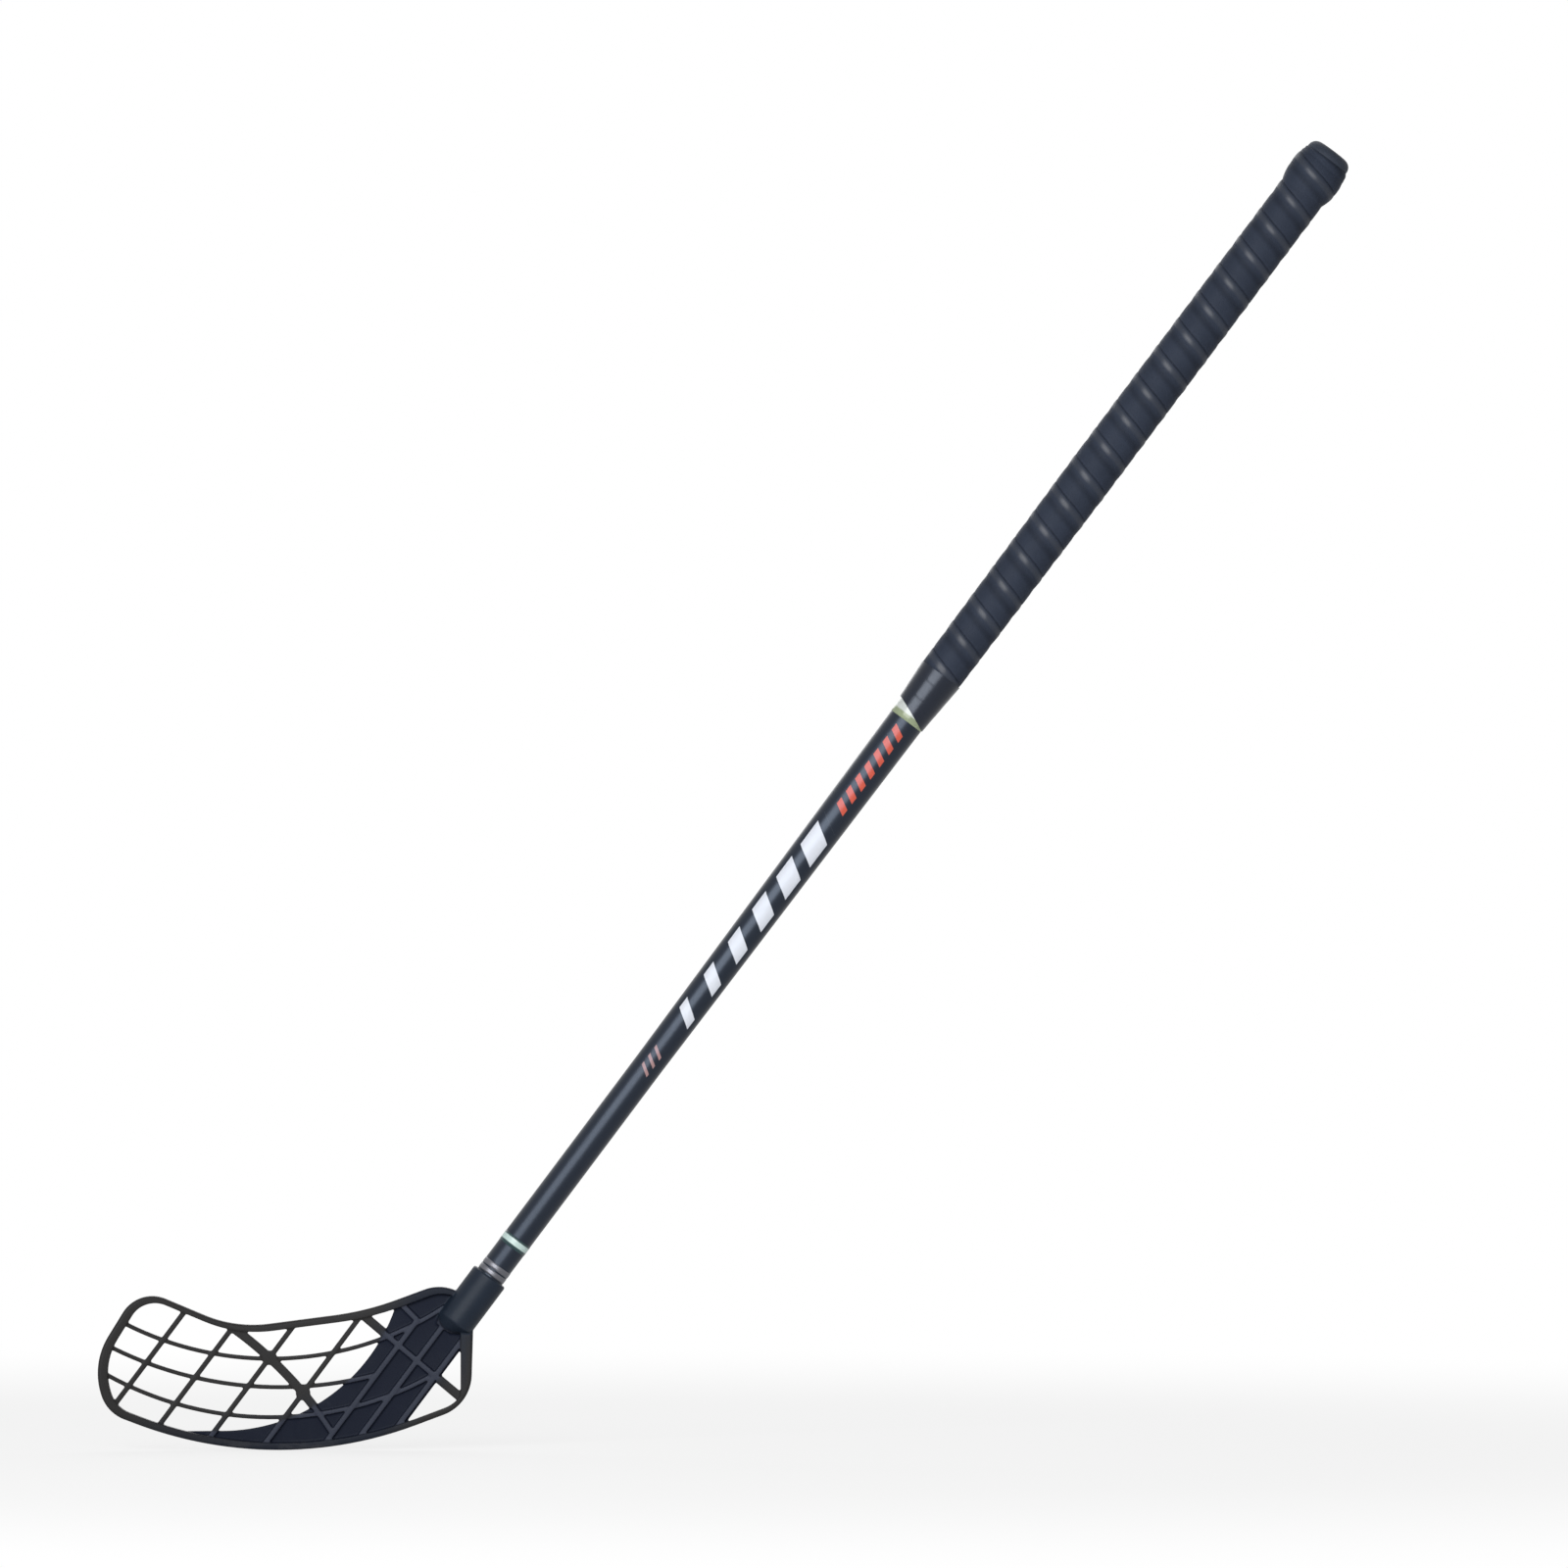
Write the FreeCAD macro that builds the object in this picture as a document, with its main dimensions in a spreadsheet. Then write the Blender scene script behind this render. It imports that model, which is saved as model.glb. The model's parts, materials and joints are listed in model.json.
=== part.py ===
"""Floorball stick: tapered composite shaft, ribbed blade, wound grip, butt cap and trim rings.

Millimetres, +Z up, shaft leaning towards +X as the stick is held, open face of the blade towards -Y.
The origin is the lowest point of the sole. Pieces on the shaft are drawn upright, with the shaft's
lower end at their own zero, and are then leaned over together.
"""
import FreeCAD, Part
import math
import os
import Sketcher
from FreeCAD import Placement, Rotation, Vector

doc = FreeCAD.newDocument("floorball_stick")
sheet = doc.addObject("Spreadsheet::Sheet", "Sizes")

SIZES = [
    ("shaft_lean", 36.85, "shaft angle from upright, degrees"),
    ("socket_floor_x", 118.5, "lower end of the shaft, along the blade"),
    ("socket_floor_z", 85.7, "lower end of the shaft, above the sole"),
    ("shaft_length", 948, "tube length"),
    ("shaft_low_dia", 19.4, "tube diameter at the blade"),
    ("shaft_top_dia", 27.0, "tube diameter under the grip"),
    ("shaft_wall", 1.3, "tube wall"),
    ("taper_start", 210, "height where the tube begins to widen"),
    ("taper_end", 688, "height where the tube is at its full width"),
    ("socket_depth", 35, "shaft length held in the hosel"),
    ("socket_fit", 0.05, "clearance round the shaft in the hosel"),
    ("hosel_wall", 2.65, "hosel wall"),
    ("hosel_floor", 2.5, "hosel thickness below the shaft"),
    ("hosel_tail_length", 8, "hosel below its floor, flattening into the blade"),
    ("hosel_tail_width", 12, "width of the flattened end"),
    ("hosel_tail_shift", 4, "the flattened end from the shaft's axis, towards the toe"),
    ("mouth_round", 1.2, "rounding of the hosel mouth"),
    ("rim_width", 4.6, "blade rim, seen from the front"),
    ("rim_depth", 9.0, "blade rim, front to back"),
    ("rim_round", 1.6, "rounding of the rim edges"),
    ("toe_extra", 1.9, "added rim width at the toe"),
    ("heel_post_width", 8.5, "wider rim at the heel"),
    ("hook_start", 40, "place along the blade where it starts to curve"),
    ("hook_radius", 640, "curve of the blade towards the ball side"),
    ("cross_rib_width", 3.4, "ribs that run with the shaft"),
    ("cross_rib_depth", 6.6, "the same, front to back"),
    ("cross_rib_pitch", 39, "their spacing along the blade"),
    ("cross_rib_first", -90.3, "first of them, at the level below"),
    ("cross_rib_level", 50, "height where the spacing is measured"),
    ("long_rib_width", 2.7, "ribs that run from toe to heel"),
    ("long_rib_depth", 5.4, "the same, front to back"),
    ("brace_width", 5.8, "slanting braces, where no wall backs them"),
    ("brace_bulge", 4.5, "bow of the middle brace"),
    ("brace_node_dia", 9.4, "thickened crossings on the middle brace"),
    ("web_thickness", 2.4, "thin wall that closes the heel half"),
    ("web_back", 1.8, "its back face behind the blade's middle"),
    ("web_edge_radius", 119, "sweep of its open edge"),
    ("web_edge_x", -35, "centre of that sweep, along the blade"),
    ("web_edge_z", 132, "centre of that sweep, above the sole"),
    ("web_heel_lip", 3.8, "wall beyond the last rib along the shaft"),
    ("screw_dia", 3.5, "screw shank"),
    ("screw_head_dia", 6.6, "screw head"),
    ("screw_length", 8.5, "under the flat of the head"),
    ("screw_drop", 11, "upper screw below the hosel mouth"),
    ("screw_spacing", 13, "between the two screws"),
    ("screw_fit", 0.05, "clearance round a screw"),
    ("cap_rise", 5.0, "cap above the tube end"),
    ("cap_overhang", 2.0, "cap head beyond the tube, all round"),
    ("cap_lip", 1.5, "cap over the outside of the tube"),
    ("cap_round", 6.0, "rounding of the cap head"),
    ("plug_length", 30, "cap inside the tube"),
    ("plug_wall", 2.0, "wall of the hollow plug"),
    ("plug_fit", 0.05, "clearance round the plug"),
    ("knob_length", 27, "band under the tape at the butt"),
    ("knob_swell", 2.3, "how far it lifts the tape"),
    ("knob_clear", 0.5, "room between the band and the flats of the tape"),
    ("grip_length", 445, "wound length"),
    ("grip_top_gap", 0.3, "between the tape and the cap"),
    ("tape_thickness", 2.2, "grip tape"),
    ("tape_end_thickness", 0.6, "grip tape where it is drawn thin"),
    ("tape_end_length", 23, "drawn-thin length at the lower end"),
    ("tape_tip_width", 3.0, "width of the tape's cut tips"),
    ("tape_fit", 0.2, "clearance under the tape"),
    ("turn_pitch", 22.4, "advance of one turn"),
    ("turn_gap", 0.45, "seam between two turns"),
    ("seam_ridge", 0.35, "raised edge along the seam"),
    ("finish_over", 25, "finishing tape over the grip"),
    ("finish_below", 12.2, "finishing tape below the grip"),
    ("finish_slant", 10, "slant of its lower edge across the shaft"),
    ("finish_thickness", 0.35, "finishing tape at its edges"),
    ("finish_fit", 0.1, "clearance under it"),
    ("film_thickness", 0.12, "ring films on the shaft"),
    ("film_fit", 0.06, "clearance under a film"),
    ("upper_ring_drop", 13.2, "lower edge of the ring below the grip's end"),
    ("upper_ring_width", 11, "its width"),
    ("lower_ring_rise", 23.6, "lower edge of the plain ring above the hosel"),
    ("lower_ring_width", 7.4, "its width"),
    ("collar_ring_rise", 1.0, "lower edge of the first silver ring above the hosel"),
    ("collar_ring_width", 3.6, "width of a silver ring"),
    ("collar_ring_gap", 1.0, "between the two silver ring edges"),
    ("sole_x", 0, "outline corner below the sole, along the blade"),
    ("sole_z", -17.5, "the same, above the sole"),
    ("sole_round", 254, "the same, radius"),
    ("toe_low_x", -110, "outline corner under the toe, along the blade"),
    ("toe_low_z", 25.5, "the same, above the sole"),
    ("toe_low_round", 25, "the same, radius"),
    ("toe_side_x", -119.5, "outline corner beside the toe, along the blade"),
    ("toe_side_z", 58, "the same, above the sole"),
    ("toe_side_round", 46, "the same, radius"),
    ("toe_tip_x", -89.5, "outline corner at the toe's top, along the blade"),
    ("toe_tip_z", 107, "the same, above the sole"),
    ("toe_tip_round", 22, "the same, radius"),
    ("saddle_x", -26.5, "outline corner in the upper edge's dip, along the blade"),
    ("saddle_z", 80, "the same, above the sole"),
    ("saddle_round", 81, "the same, radius"),
    ("upper_edge_x", 58.5, "outline corner in the rising upper edge, along the blade"),
    ("upper_edge_z", 91, "the same, above the sole"),
    ("upper_edge_round", 190, "the same, radius"),
    ("shoulder_x", 112.5, "outline corner by the hosel, along the blade"),
    ("shoulder_z", 111, "the same, above the sole"),
    ("shoulder_round", 27, "the same, radius"),
    ("back_x", 129, "outline corner behind the hosel, along the blade"),
    ("back_z", 95.5, "the same, above the sole"),
    ("back_round", 10, "the same, radius"),
    ("heel_x", 127, "outline corner at the heel, along the blade"),
    ("heel_z", 30, "the same, above the sole"),
    ("heel_round", 28, "the same, radius"),
    ("upper_rib_x", -3, "lowest point of the upper rib, along the blade"),
    ("upper_rib_z", 60, "the same, above the sole"),
    ("upper_rib_radius", 205, "curve of the upper rib"),
    ("upper_rib_end", 110, "heel end of the upper rib, along the blade"),
    ("middle_rib_x", 3, "lowest point of the middle rib, along the blade"),
    ("middle_rib_z", 41.4, "the same, above the sole"),
    ("middle_rib_radius", 240, "curve of the middle rib"),
    ("middle_rib_end", 66, "heel end of the middle rib, along the blade"),
    ("lower_rib_x", -3, "lowest point of the lower rib, along the blade"),
    ("lower_rib_z", 21.8, "the same, above the sole"),
    ("lower_rib_radius", 215, "curve of the lower rib"),
    ("lower_rib_end", 102, "heel end of the lower rib, along the blade"),
    ("brace_top", 80.4, "upper end of the bowed brace, above the sole"),
    ("brace_foot", 11.3, "its lower end, above the sole"),
    ("heel_brace_top", 89, "upper end of the heel's brace, above the sole"),
    ("heel_brace_foot", 34.6, "its lower end, above the sole"),
    ("neck_brace_foot", 85.2, "lower end of the short brace by the hosel, above the sole"),
    ("neck_brace_top", 97, "its upper end, above the sole"),
]

# Corners of the blade's outline, in order, and the ribs from toe to heel.
OUTLINE = ["sole", "toe_low", "toe_side", "toe_tip", "saddle", "upper_edge", "shoulder", "back", "heel"]
LONG_RIBS = ["upper_rib", "middle_rib", "lower_rib"]

# Ribs along the shaft, counted in pitches from the first: open lattice, then closer on the web.
CROSS_RIB_STEPS = [0, 1, 2, 3, 4, 4.5, 5]

# The ribs, by their steps, that the braces meet.
BRACE_TOP_STEPS = 1
BRACE_FOOT_STEPS = 4
HEEL_BRACE_STEPS = 3
NECK_BRACE_STEPS = 4

for row, (alias, value, meaning) in enumerate(SIZES, start=1):
    sheet.set("A%d" % row, meaning)
    sheet.set("B%d" % row, str(value))
    sheet.setAlias("B%d" % row, alias)
doc.recompute()


def size(alias):
    return float(sheet.get(alias))


# Blade, in plan (along X, up Z)

def rounded_outline(corners):
    """A closed wire of lines and arcs through rounded corners, and the arcs' centres."""
    count = len(corners)
    points = [Vector(along, 0, above) for along, above, radius in corners]
    toward = []
    reach = []
    for i, (along, above, radius) in enumerate(corners):
        before = (points[i - 1] - points[i]).normalize()
        after = (points[(i + 1) % count] - points[i]).normalize()
        toward.append((before, after))
        reach.append(radius / math.tan(before.getAngle(after) / 2))
    room = []
    for i in range(count):
        edge = points[i].distanceToPoint(points[(i + 1) % count])
        room.append(min(1.0, 0.99 * edge / (reach[i] + reach[(i + 1) % count])))
    edges = []
    centres = []
    last_end = None
    first_start = None
    for i in range(count):
        before, after = toward[i]
        half = before.getAngle(after) / 2
        length = reach[i] * min(room[i], room[i - 1])
        radius = length * math.tan(half)
        start = points[i] + before * length
        end = points[i] + after * length
        middle_way = (before + after).normalize()
        centre = points[i] + middle_way * (radius / math.sin(half))
        centres.append((centre, radius))
        if last_end is None:
            first_start = start
        else:
            edges.append(Part.LineSegment(last_end, start).toShape())
        edges.append(Part.Arc(start, centre - middle_way * radius, end).toShape())
        last_end = end
    edges.append(Part.LineSegment(last_end, first_start).toShape())
    return Part.Wire(edges), centres


def straight_band(start, end, width):
    """A strip of the given width between two points in plan."""
    side = (end - start).cross(Vector(0, 1, 0)).normalize() * (width / 2)
    corners = [start + side, end + side, end - side, start - side, start + side]
    return Part.Face(Part.makePolygon(corners))


def curved_band(centre, radius, width, angle_start, angle_end):
    """A strip along an arc in plan; angles are measured from straight down, towards the heel."""
    def at(distance, angle):
        return centre + Vector(math.sin(angle), 0, -math.cos(angle)) * distance

    inner = radius - width / 2
    outer = radius + width / 2
    angle_middle = (angle_start + angle_end) / 2
    edges = [
        Part.Arc(at(inner, angle_start), at(inner, angle_middle), at(inner, angle_end)).toShape(),
        Part.LineSegment(at(inner, angle_end), at(outer, angle_end)).toShape(),
        Part.Arc(at(outer, angle_end), at(outer, angle_middle), at(outer, angle_start)).toShape(),
        Part.LineSegment(at(outer, angle_start), at(inner, angle_start)).toShape(),
    ]
    return Part.Face(Part.Wire(edges))


def bowed_line(start, end, bulge):
    """An arc that bows out from the straight line between two points, to the heel side."""
    outward = Vector(start.z - end.z, 0, end.x - start.x).normalize()
    return Part.Arc(start, (start + end) * 0.5 + outward * bulge, end).toShape()


def bowed_band(line, width):
    """A strip along a bowed line."""
    centre = line.Curve.Center
    angles = []
    for parameter in (line.LastParameter, line.FirstParameter):
        spoke = line.valueAt(parameter) - centre
        angles.append(math.atan2(spoke.x, -spoke.z))
    return curved_band(centre, line.Curve.Radius, width, *angles)


def cross_rib_point(steps, above):
    """A point on a rib that runs with the shaft, at a height above the sole."""
    along = size("cross_rib_first") + steps * size("cross_rib_pitch")
    lean = math.tan(math.radians(size("shaft_lean")))
    return Vector(along + (above - size("cross_rib_level")) * lean, 0, above)


def joined(faces):
    """Flat faces in one plane as one shape."""
    whole = faces[0].multiFuse(faces[1:]).removeSplitter()
    for face in faces:
        if face.cut(whole).Area > 0.01:
            raise RuntimeError("a rib was lost where the ribs join")
    return whole


def brace_faces(narrow, wide, wall):
    """A brace: wide in the open, narrow where the wall backs it."""
    return narrow.common(wall).Faces + wide.cut(wall).Faces


corners = [[size(name + part) for part in ("_x", "_z", "_round")] for name in OUTLINE]
outline_wire, outline_centres = rounded_outline(corners)
outline_face = Part.Face(outline_wire)
inner_wire = outline_wire.makeOffset2D(-size("rim_width"))
inner_wire.translate(Vector(size("toe_extra"), 0, 0))
inner_face = Part.Face(inner_wire)
rib_zone = Part.Face(outline_wire.makeOffset2D(-size("rim_width") / 2))
blade_box = outline_wire.BoundBox
margin = size("rim_depth")
below_blade = blade_box.ZMin - margin
above_blade = blade_box.ZMax + margin

sole_centre, sole_radius = outline_centres[0]
ground = Vector(sole_centre.x, 0, sole_centre.z - sole_radius)

heel_inner_x = blade_box.XMax - size("heel_post_width")
heel_post = Part.makePlane(size("heel_post_width") + margin, above_blade - below_blade,
                           Vector(heel_inner_x, 0, below_blade), Vector(0, -1, 0), Vector(1, 0, 0))


def rim_plan():
    return outline_face.cut(inner_face.cut(heel_post))


def cross_rib_plan():
    faces = []
    width = size("cross_rib_width")
    for steps in CROSS_RIB_STEPS:
        foot = cross_rib_point(steps, below_blade)
        ends_at_neck = steps == NECK_BRACE_STEPS
        head = cross_rib_point(steps, size("neck_brace_foot") if ends_at_neck else above_blade)
        faces.append(straight_band(foot, head, width))
    brace = size("brace_width")
    wall = web_plan()
    top = cross_rib_point(BRACE_TOP_STEPS, size("brace_top"))
    foot = cross_rib_point(BRACE_FOOT_STEPS, size("brace_foot"))
    bow = bowed_line(top, foot, size("brace_bulge"))
    faces += brace_faces(bowed_band(bow, width), bowed_band(bow, brace), wall)
    for steps in range(BRACE_TOP_STEPS + 1, BRACE_FOOT_STEPS):
        rib = Part.makeLine(cross_rib_point(steps, below_blade), cross_rib_point(steps, above_blade))
        crossing = bow.distToShape(rib)[1][0][0]
        node = Part.makeCircle(size("brace_node_dia") / 2, crossing, Vector(0, 1, 0))
        faces.append(Part.Face(Part.Wire(node)))
    heel_top = cross_rib_point(HEEL_BRACE_STEPS, size("heel_brace_top"))
    heel_foot = Vector(heel_inner_x, 0, size("heel_brace_foot"))
    faces += brace_faces(straight_band(heel_top, heel_foot, width),
                         straight_band(heel_top, heel_foot, brace), wall)
    neck_foot = cross_rib_point(NECK_BRACE_STEPS, size("neck_brace_foot"))
    neck_height = size("neck_brace_top") - neck_foot.z
    neck_top = neck_foot + Vector(-neck_height, 0, neck_height)
    faces.append(straight_band(neck_foot, neck_top, width))
    return joined(faces).common(rib_zone)


def long_rib_plan():
    faces = []
    for rib in LONG_RIBS:
        radius = size(rib + "_radius")
        centre = Vector(size(rib + "_x"), 0, size(rib + "_z") + radius)
        start = -math.asin(min(0.99, (centre.x - blade_box.XMin + margin) / radius))
        end = math.asin(min(0.99, (size(rib + "_end") - centre.x) / radius))
        faces.append(curved_band(centre, radius, size("long_rib_width"), start, end))
    return joined(faces).common(rib_zone)


def web_plan():
    """The closed heel half: under a sweeping edge, to just past the last rib along the shaft."""
    sweep = size("web_edge_radius")
    centre = Vector(size("web_edge_x"), 0, size("web_edge_z"))
    opening = Part.Face(Part.Wire(Part.makeCircle(sweep, centre, Vector(0, 1, 0))))
    low = centre.z - sweep
    toe_side = Part.makePlane(centre.x - blade_box.XMin + margin, above_blade - low,
                              Vector(blade_box.XMin - margin, 0, low), Vector(0, -1, 0), Vector(1, 0, 0))
    lip = Vector(size("web_heel_lip"), 0, 0)
    foot = cross_rib_point(CROSS_RIB_STEPS[-1], below_blade) + lip
    head = cross_rib_point(CROSS_RIB_STEPS[-1], above_blade) + lip
    far = Vector(blade_box.XLength, 0, 0)
    heel_side = Part.Face(Part.makePolygon([foot, head, head + far, foot + far, foot]))
    return rib_zone.cut(opening).cut(toe_side).cut(heel_side)


def hook_sweep():
    """Angle of the blade's curve, from its start to past the toe."""
    return (size("hook_start") - blade_box.XMin + margin) / size("hook_radius")


def curved_slab(front, back):
    """The blade's bent thickness: flat at the heel, then an arc that hooks to the front at the toe."""
    start = size("hook_start")
    radius = size("hook_radius")
    sweep = hook_sweep()

    def at(distance, angle):
        return Vector(start - distance * math.sin(angle), distance * math.cos(angle) - radius, 0)

    heel_end = blade_box.XMax + margin
    inner = radius - front
    outer = radius + back
    edges = [
        Part.LineSegment(Vector(heel_end, -front, 0), at(inner, 0)).toShape(),
        Part.Arc(at(inner, 0), at(inner, sweep / 2), at(inner, sweep)).toShape(),
        Part.LineSegment(at(inner, sweep), at(outer, sweep)).toShape(),
        Part.Arc(at(outer, sweep), at(outer, sweep / 2), at(outer, 0)).toShape(),
        Part.LineSegment(at(outer, 0), Vector(heel_end, back, 0)).toShape(),
        Part.LineSegment(Vector(heel_end, back, 0), Vector(heel_end, -front, 0)).toShape(),
    ]
    face = Part.Face(Part.Wire(edges))
    face.translate(Vector(0, 0, below_blade))
    return face.extrude(Vector(0, 0, above_blade - below_blade))


def moulded(plan, front, back):
    """A plan carried through the bent thickness of the blade."""
    deepest = size("hook_radius") * (1 - math.cos(hook_sweep())) + front + margin
    prism = plan.copy()
    prism.translate(Vector(0, -deepest, 0))
    return prism.extrude(Vector(0, deepest + back + margin, 0)).common(curved_slab(front, back))


def rounded_rim():
    """The rim, with its outer edges rounded front and back."""
    half = size("rim_depth") / 2
    rim = moulded(rim_plan(), half, half).Solids[0]
    outer_edges = []
    for edge in rim.Edges:
        middle = edge.valueAt((edge.FirstParameter + edge.LastParameter) / 2)
        from_outline = outline_wire.distToShape(Part.Vertex(middle.x, 0, middle.z))[0]
        across_rim = abs(edge.tangentAt(edge.FirstParameter).y) > 0.9
        if from_outline < size("rim_width") / 4 and not across_rim:
            outer_edges.append(edge)
    rounding = min(size("rim_round"), 0.45 * size("rim_width"), 0.45 * size("rim_depth"))
    return rim.makeFillet(rounding, outer_edges)


# Places on the shaft

def stick_placement():
    """From the shaft's own upright frame to the leaning stick."""
    foot = Vector(size("socket_floor_x"), 0, size("socket_floor_z")) - ground
    return Placement(foot, Rotation(Vector(0, 1, 0), size("shaft_lean")))


def shaft_radius(height):
    low = size("shaft_low_dia") / 2
    top = size("shaft_top_dia") / 2
    share = (height - size("taper_start")) / (size("taper_end") - size("taper_start"))
    return low + (top - low) * min(1.0, max(0.0, share))


def shaft_radius_formula(height):
    """The shaft's radius in its tapered stretch, as an expression."""
    rise = "(Sizes.shaft_top_dia - Sizes.shaft_low_dia) / 2"
    share = "((%s) - Sizes.taper_start) / (Sizes.taper_end - Sizes.taper_start)" % height
    return "Sizes.shaft_low_dia / 2 + %s * %s" % (rise, share)


def origin_plane(body, role):
    for feature in body.Origin.OriginFeatures:
        if feature.Role == role:
            return feature
    raise RuntimeError("no plane " + role)


def closed_sketch(body, name, corner_formulas):
    """A sketch on the body's upright plane; each corner is a pair of expressions."""
    sketch = body.newObject("Sketcher::SketchObject", name)
    sketch.AttachmentSupport = [(origin_plane(body, "XZ_Plane"), "")]
    sketch.MapMode = "FlatFace"
    doc.recompute()
    places = []
    for across, up in corner_formulas:
        places.append(Vector(float(sketch.evalExpression(across)), float(sketch.evalExpression(up)), 0))
    count = len(places)
    for i in range(count):
        sketch.addGeometry(Part.LineSegment(places[i], places[(i + 1) % count]), False)
    for i in range(count):
        sketch.addConstraint(Sketcher.Constraint("Coincident", i, 2, (i + 1) % count, 1))
    for i, formulas in enumerate(corner_formulas):
        values = (places[i].x, places[i].y)
        for kind, axis, formula, value in zip(("DistanceX", "DistanceY"), (-2, -1), formulas, values):
            if formula == "0":
                sketch.addConstraint(Sketcher.Constraint("PointOnObject", i, 1, axis))
                continue
            index = sketch.addConstraint(Sketcher.Constraint(kind, -1, 1, i, 1, value))
            sketch.setExpression("Constraints[%d]" % index, formula)
    return sketch


def turned_body(label, corner_formulas):
    """A body turned about the shaft's axis; corners are radius and height expressions."""
    body = doc.addObject("PartDesign::Body", label)
    body.Label = label
    sketch = closed_sketch(body, label + "_profile", corner_formulas)
    turn = body.newObject("PartDesign::Revolution", label + "_turn")
    turn.Profile = sketch
    turn.ReferenceAxis = (sketch, ["V_Axis"])
    turn.Angle = 360
    doc.recompute()
    return body


def cut_through(body, sketch, name, both_sides):
    """A pocket from the upright plane, to the back only or to both sides."""
    before = body.Shape.Volume
    pocket = body.newObject("PartDesign::Pocket", name)
    pocket.Profile = sketch
    pocket.Type = "ThroughAll"
    if both_sides:
        pocket.SideType = "Symmetric"
    doc.recompute()
    if not body.Shape.Volume < before:
        raise RuntimeError(name + " cuts nothing")


# Sub-parts

def make_shaft():
    low, top, wall = "Sizes.shaft_low_dia / 2", "Sizes.shaft_top_dia / 2", "Sizes.shaft_wall"
    body = turned_body("shaft", [
        (low, "0"),
        (low, "Sizes.taper_start"),
        (top, "Sizes.taper_end"),
        (top, "Sizes.shaft_length"),
        (top + " - " + wall, "Sizes.shaft_length"),
        (top + " - " + wall, "Sizes.taper_end"),
        (low + " - " + wall, "Sizes.taper_start"),
        (low + " - " + wall, "0"),
    ])
    holes = body.newObject("Sketcher::SketchObject", "screw_holes")
    holes.AttachmentSupport = [(origin_plane(body, "XZ_Plane"), "")]
    holes.MapMode = "FlatFace"
    upper = "Sizes.socket_depth - Sizes.screw_drop"
    heights = (upper, upper + " - Sizes.screw_spacing")
    for i, height in enumerate(heights):
        centre = Vector(0, float(sheet.evalExpression(height)), 0)
        holes.addGeometry(Part.Circle(centre, Vector(0, 0, 1), size("screw_dia") / 2), False)
        holes.addConstraint(Sketcher.Constraint("PointOnObject", i, 3, -2))
        up = holes.addConstraint(Sketcher.Constraint("DistanceY", -1, 1, i, 3, centre.y))
        holes.setExpression("Constraints[%d]" % up, height)
        wide = holes.addConstraint(Sketcher.Constraint("Radius", i, size("screw_dia") / 2))
        holes.setExpression("Constraints[%d]" % wide, "Sizes.screw_dia / 2 + Sizes.screw_fit")
    cut_through(body, holes, "screw_hole_cut", both_sides=False)
    return body


def hosel_radius():
    return size("shaft_low_dia") / 2 + size("socket_fit") + size("hosel_wall")


def screw_head_level():
    """Flat of a screw head: where the head's rim is level with the round hosel."""
    return math.sqrt(hosel_radius() ** 2 - (size("screw_head_dia") / 2 + size("screw_fit")) ** 2)


def screw_solid(clearance):
    """One countersunk screw along +Y; with a clearance it is the seat that the hosel is cut with."""
    shank = size("screw_dia") / 2 + clearance
    head = size("screw_head_dia") / 2 + clearance
    top = screw_head_level()
    under = top - (head - shank)
    tip = top - size("screw_length")
    point = size("screw_dia") / 2
    back = Vector(0, 1, 0)
    pieces = [
        Part.makeCylinder(shank, under - tip - point, Vector(0, tip + point, 0), back),
        Part.makeCone(shank, head, top - under, Vector(0, under, 0), back),
        Part.makeCone(0.2 * shank, shank, point, Vector(0, tip, 0), back),
    ]
    if clearance:
        pieces.append(Part.makeCylinder(head, hosel_radius(), Vector(0, top, 0), back))
    return pieces[0].multiFuse(pieces[1:]).removeSplitter()


def both_screws(clearance):
    solids = []
    for i in range(2):
        solid = screw_solid(clearance)
        solid.translate(Vector(0, 0, size("socket_depth") - size("screw_drop") - i * size("screw_spacing")))
        solids.append(solid)
    return Part.Compound(solids)


def make_screws():
    screws = doc.addObject("Part::Feature", "blade_screws")
    screws.Shape = both_screws(0)
    return screws


def feature(name, shape):
    piece = doc.addObject("Part::Feature", name)
    piece.Shape = shape
    piece.Placement = Placement(-ground, Rotation())
    return piece


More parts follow.
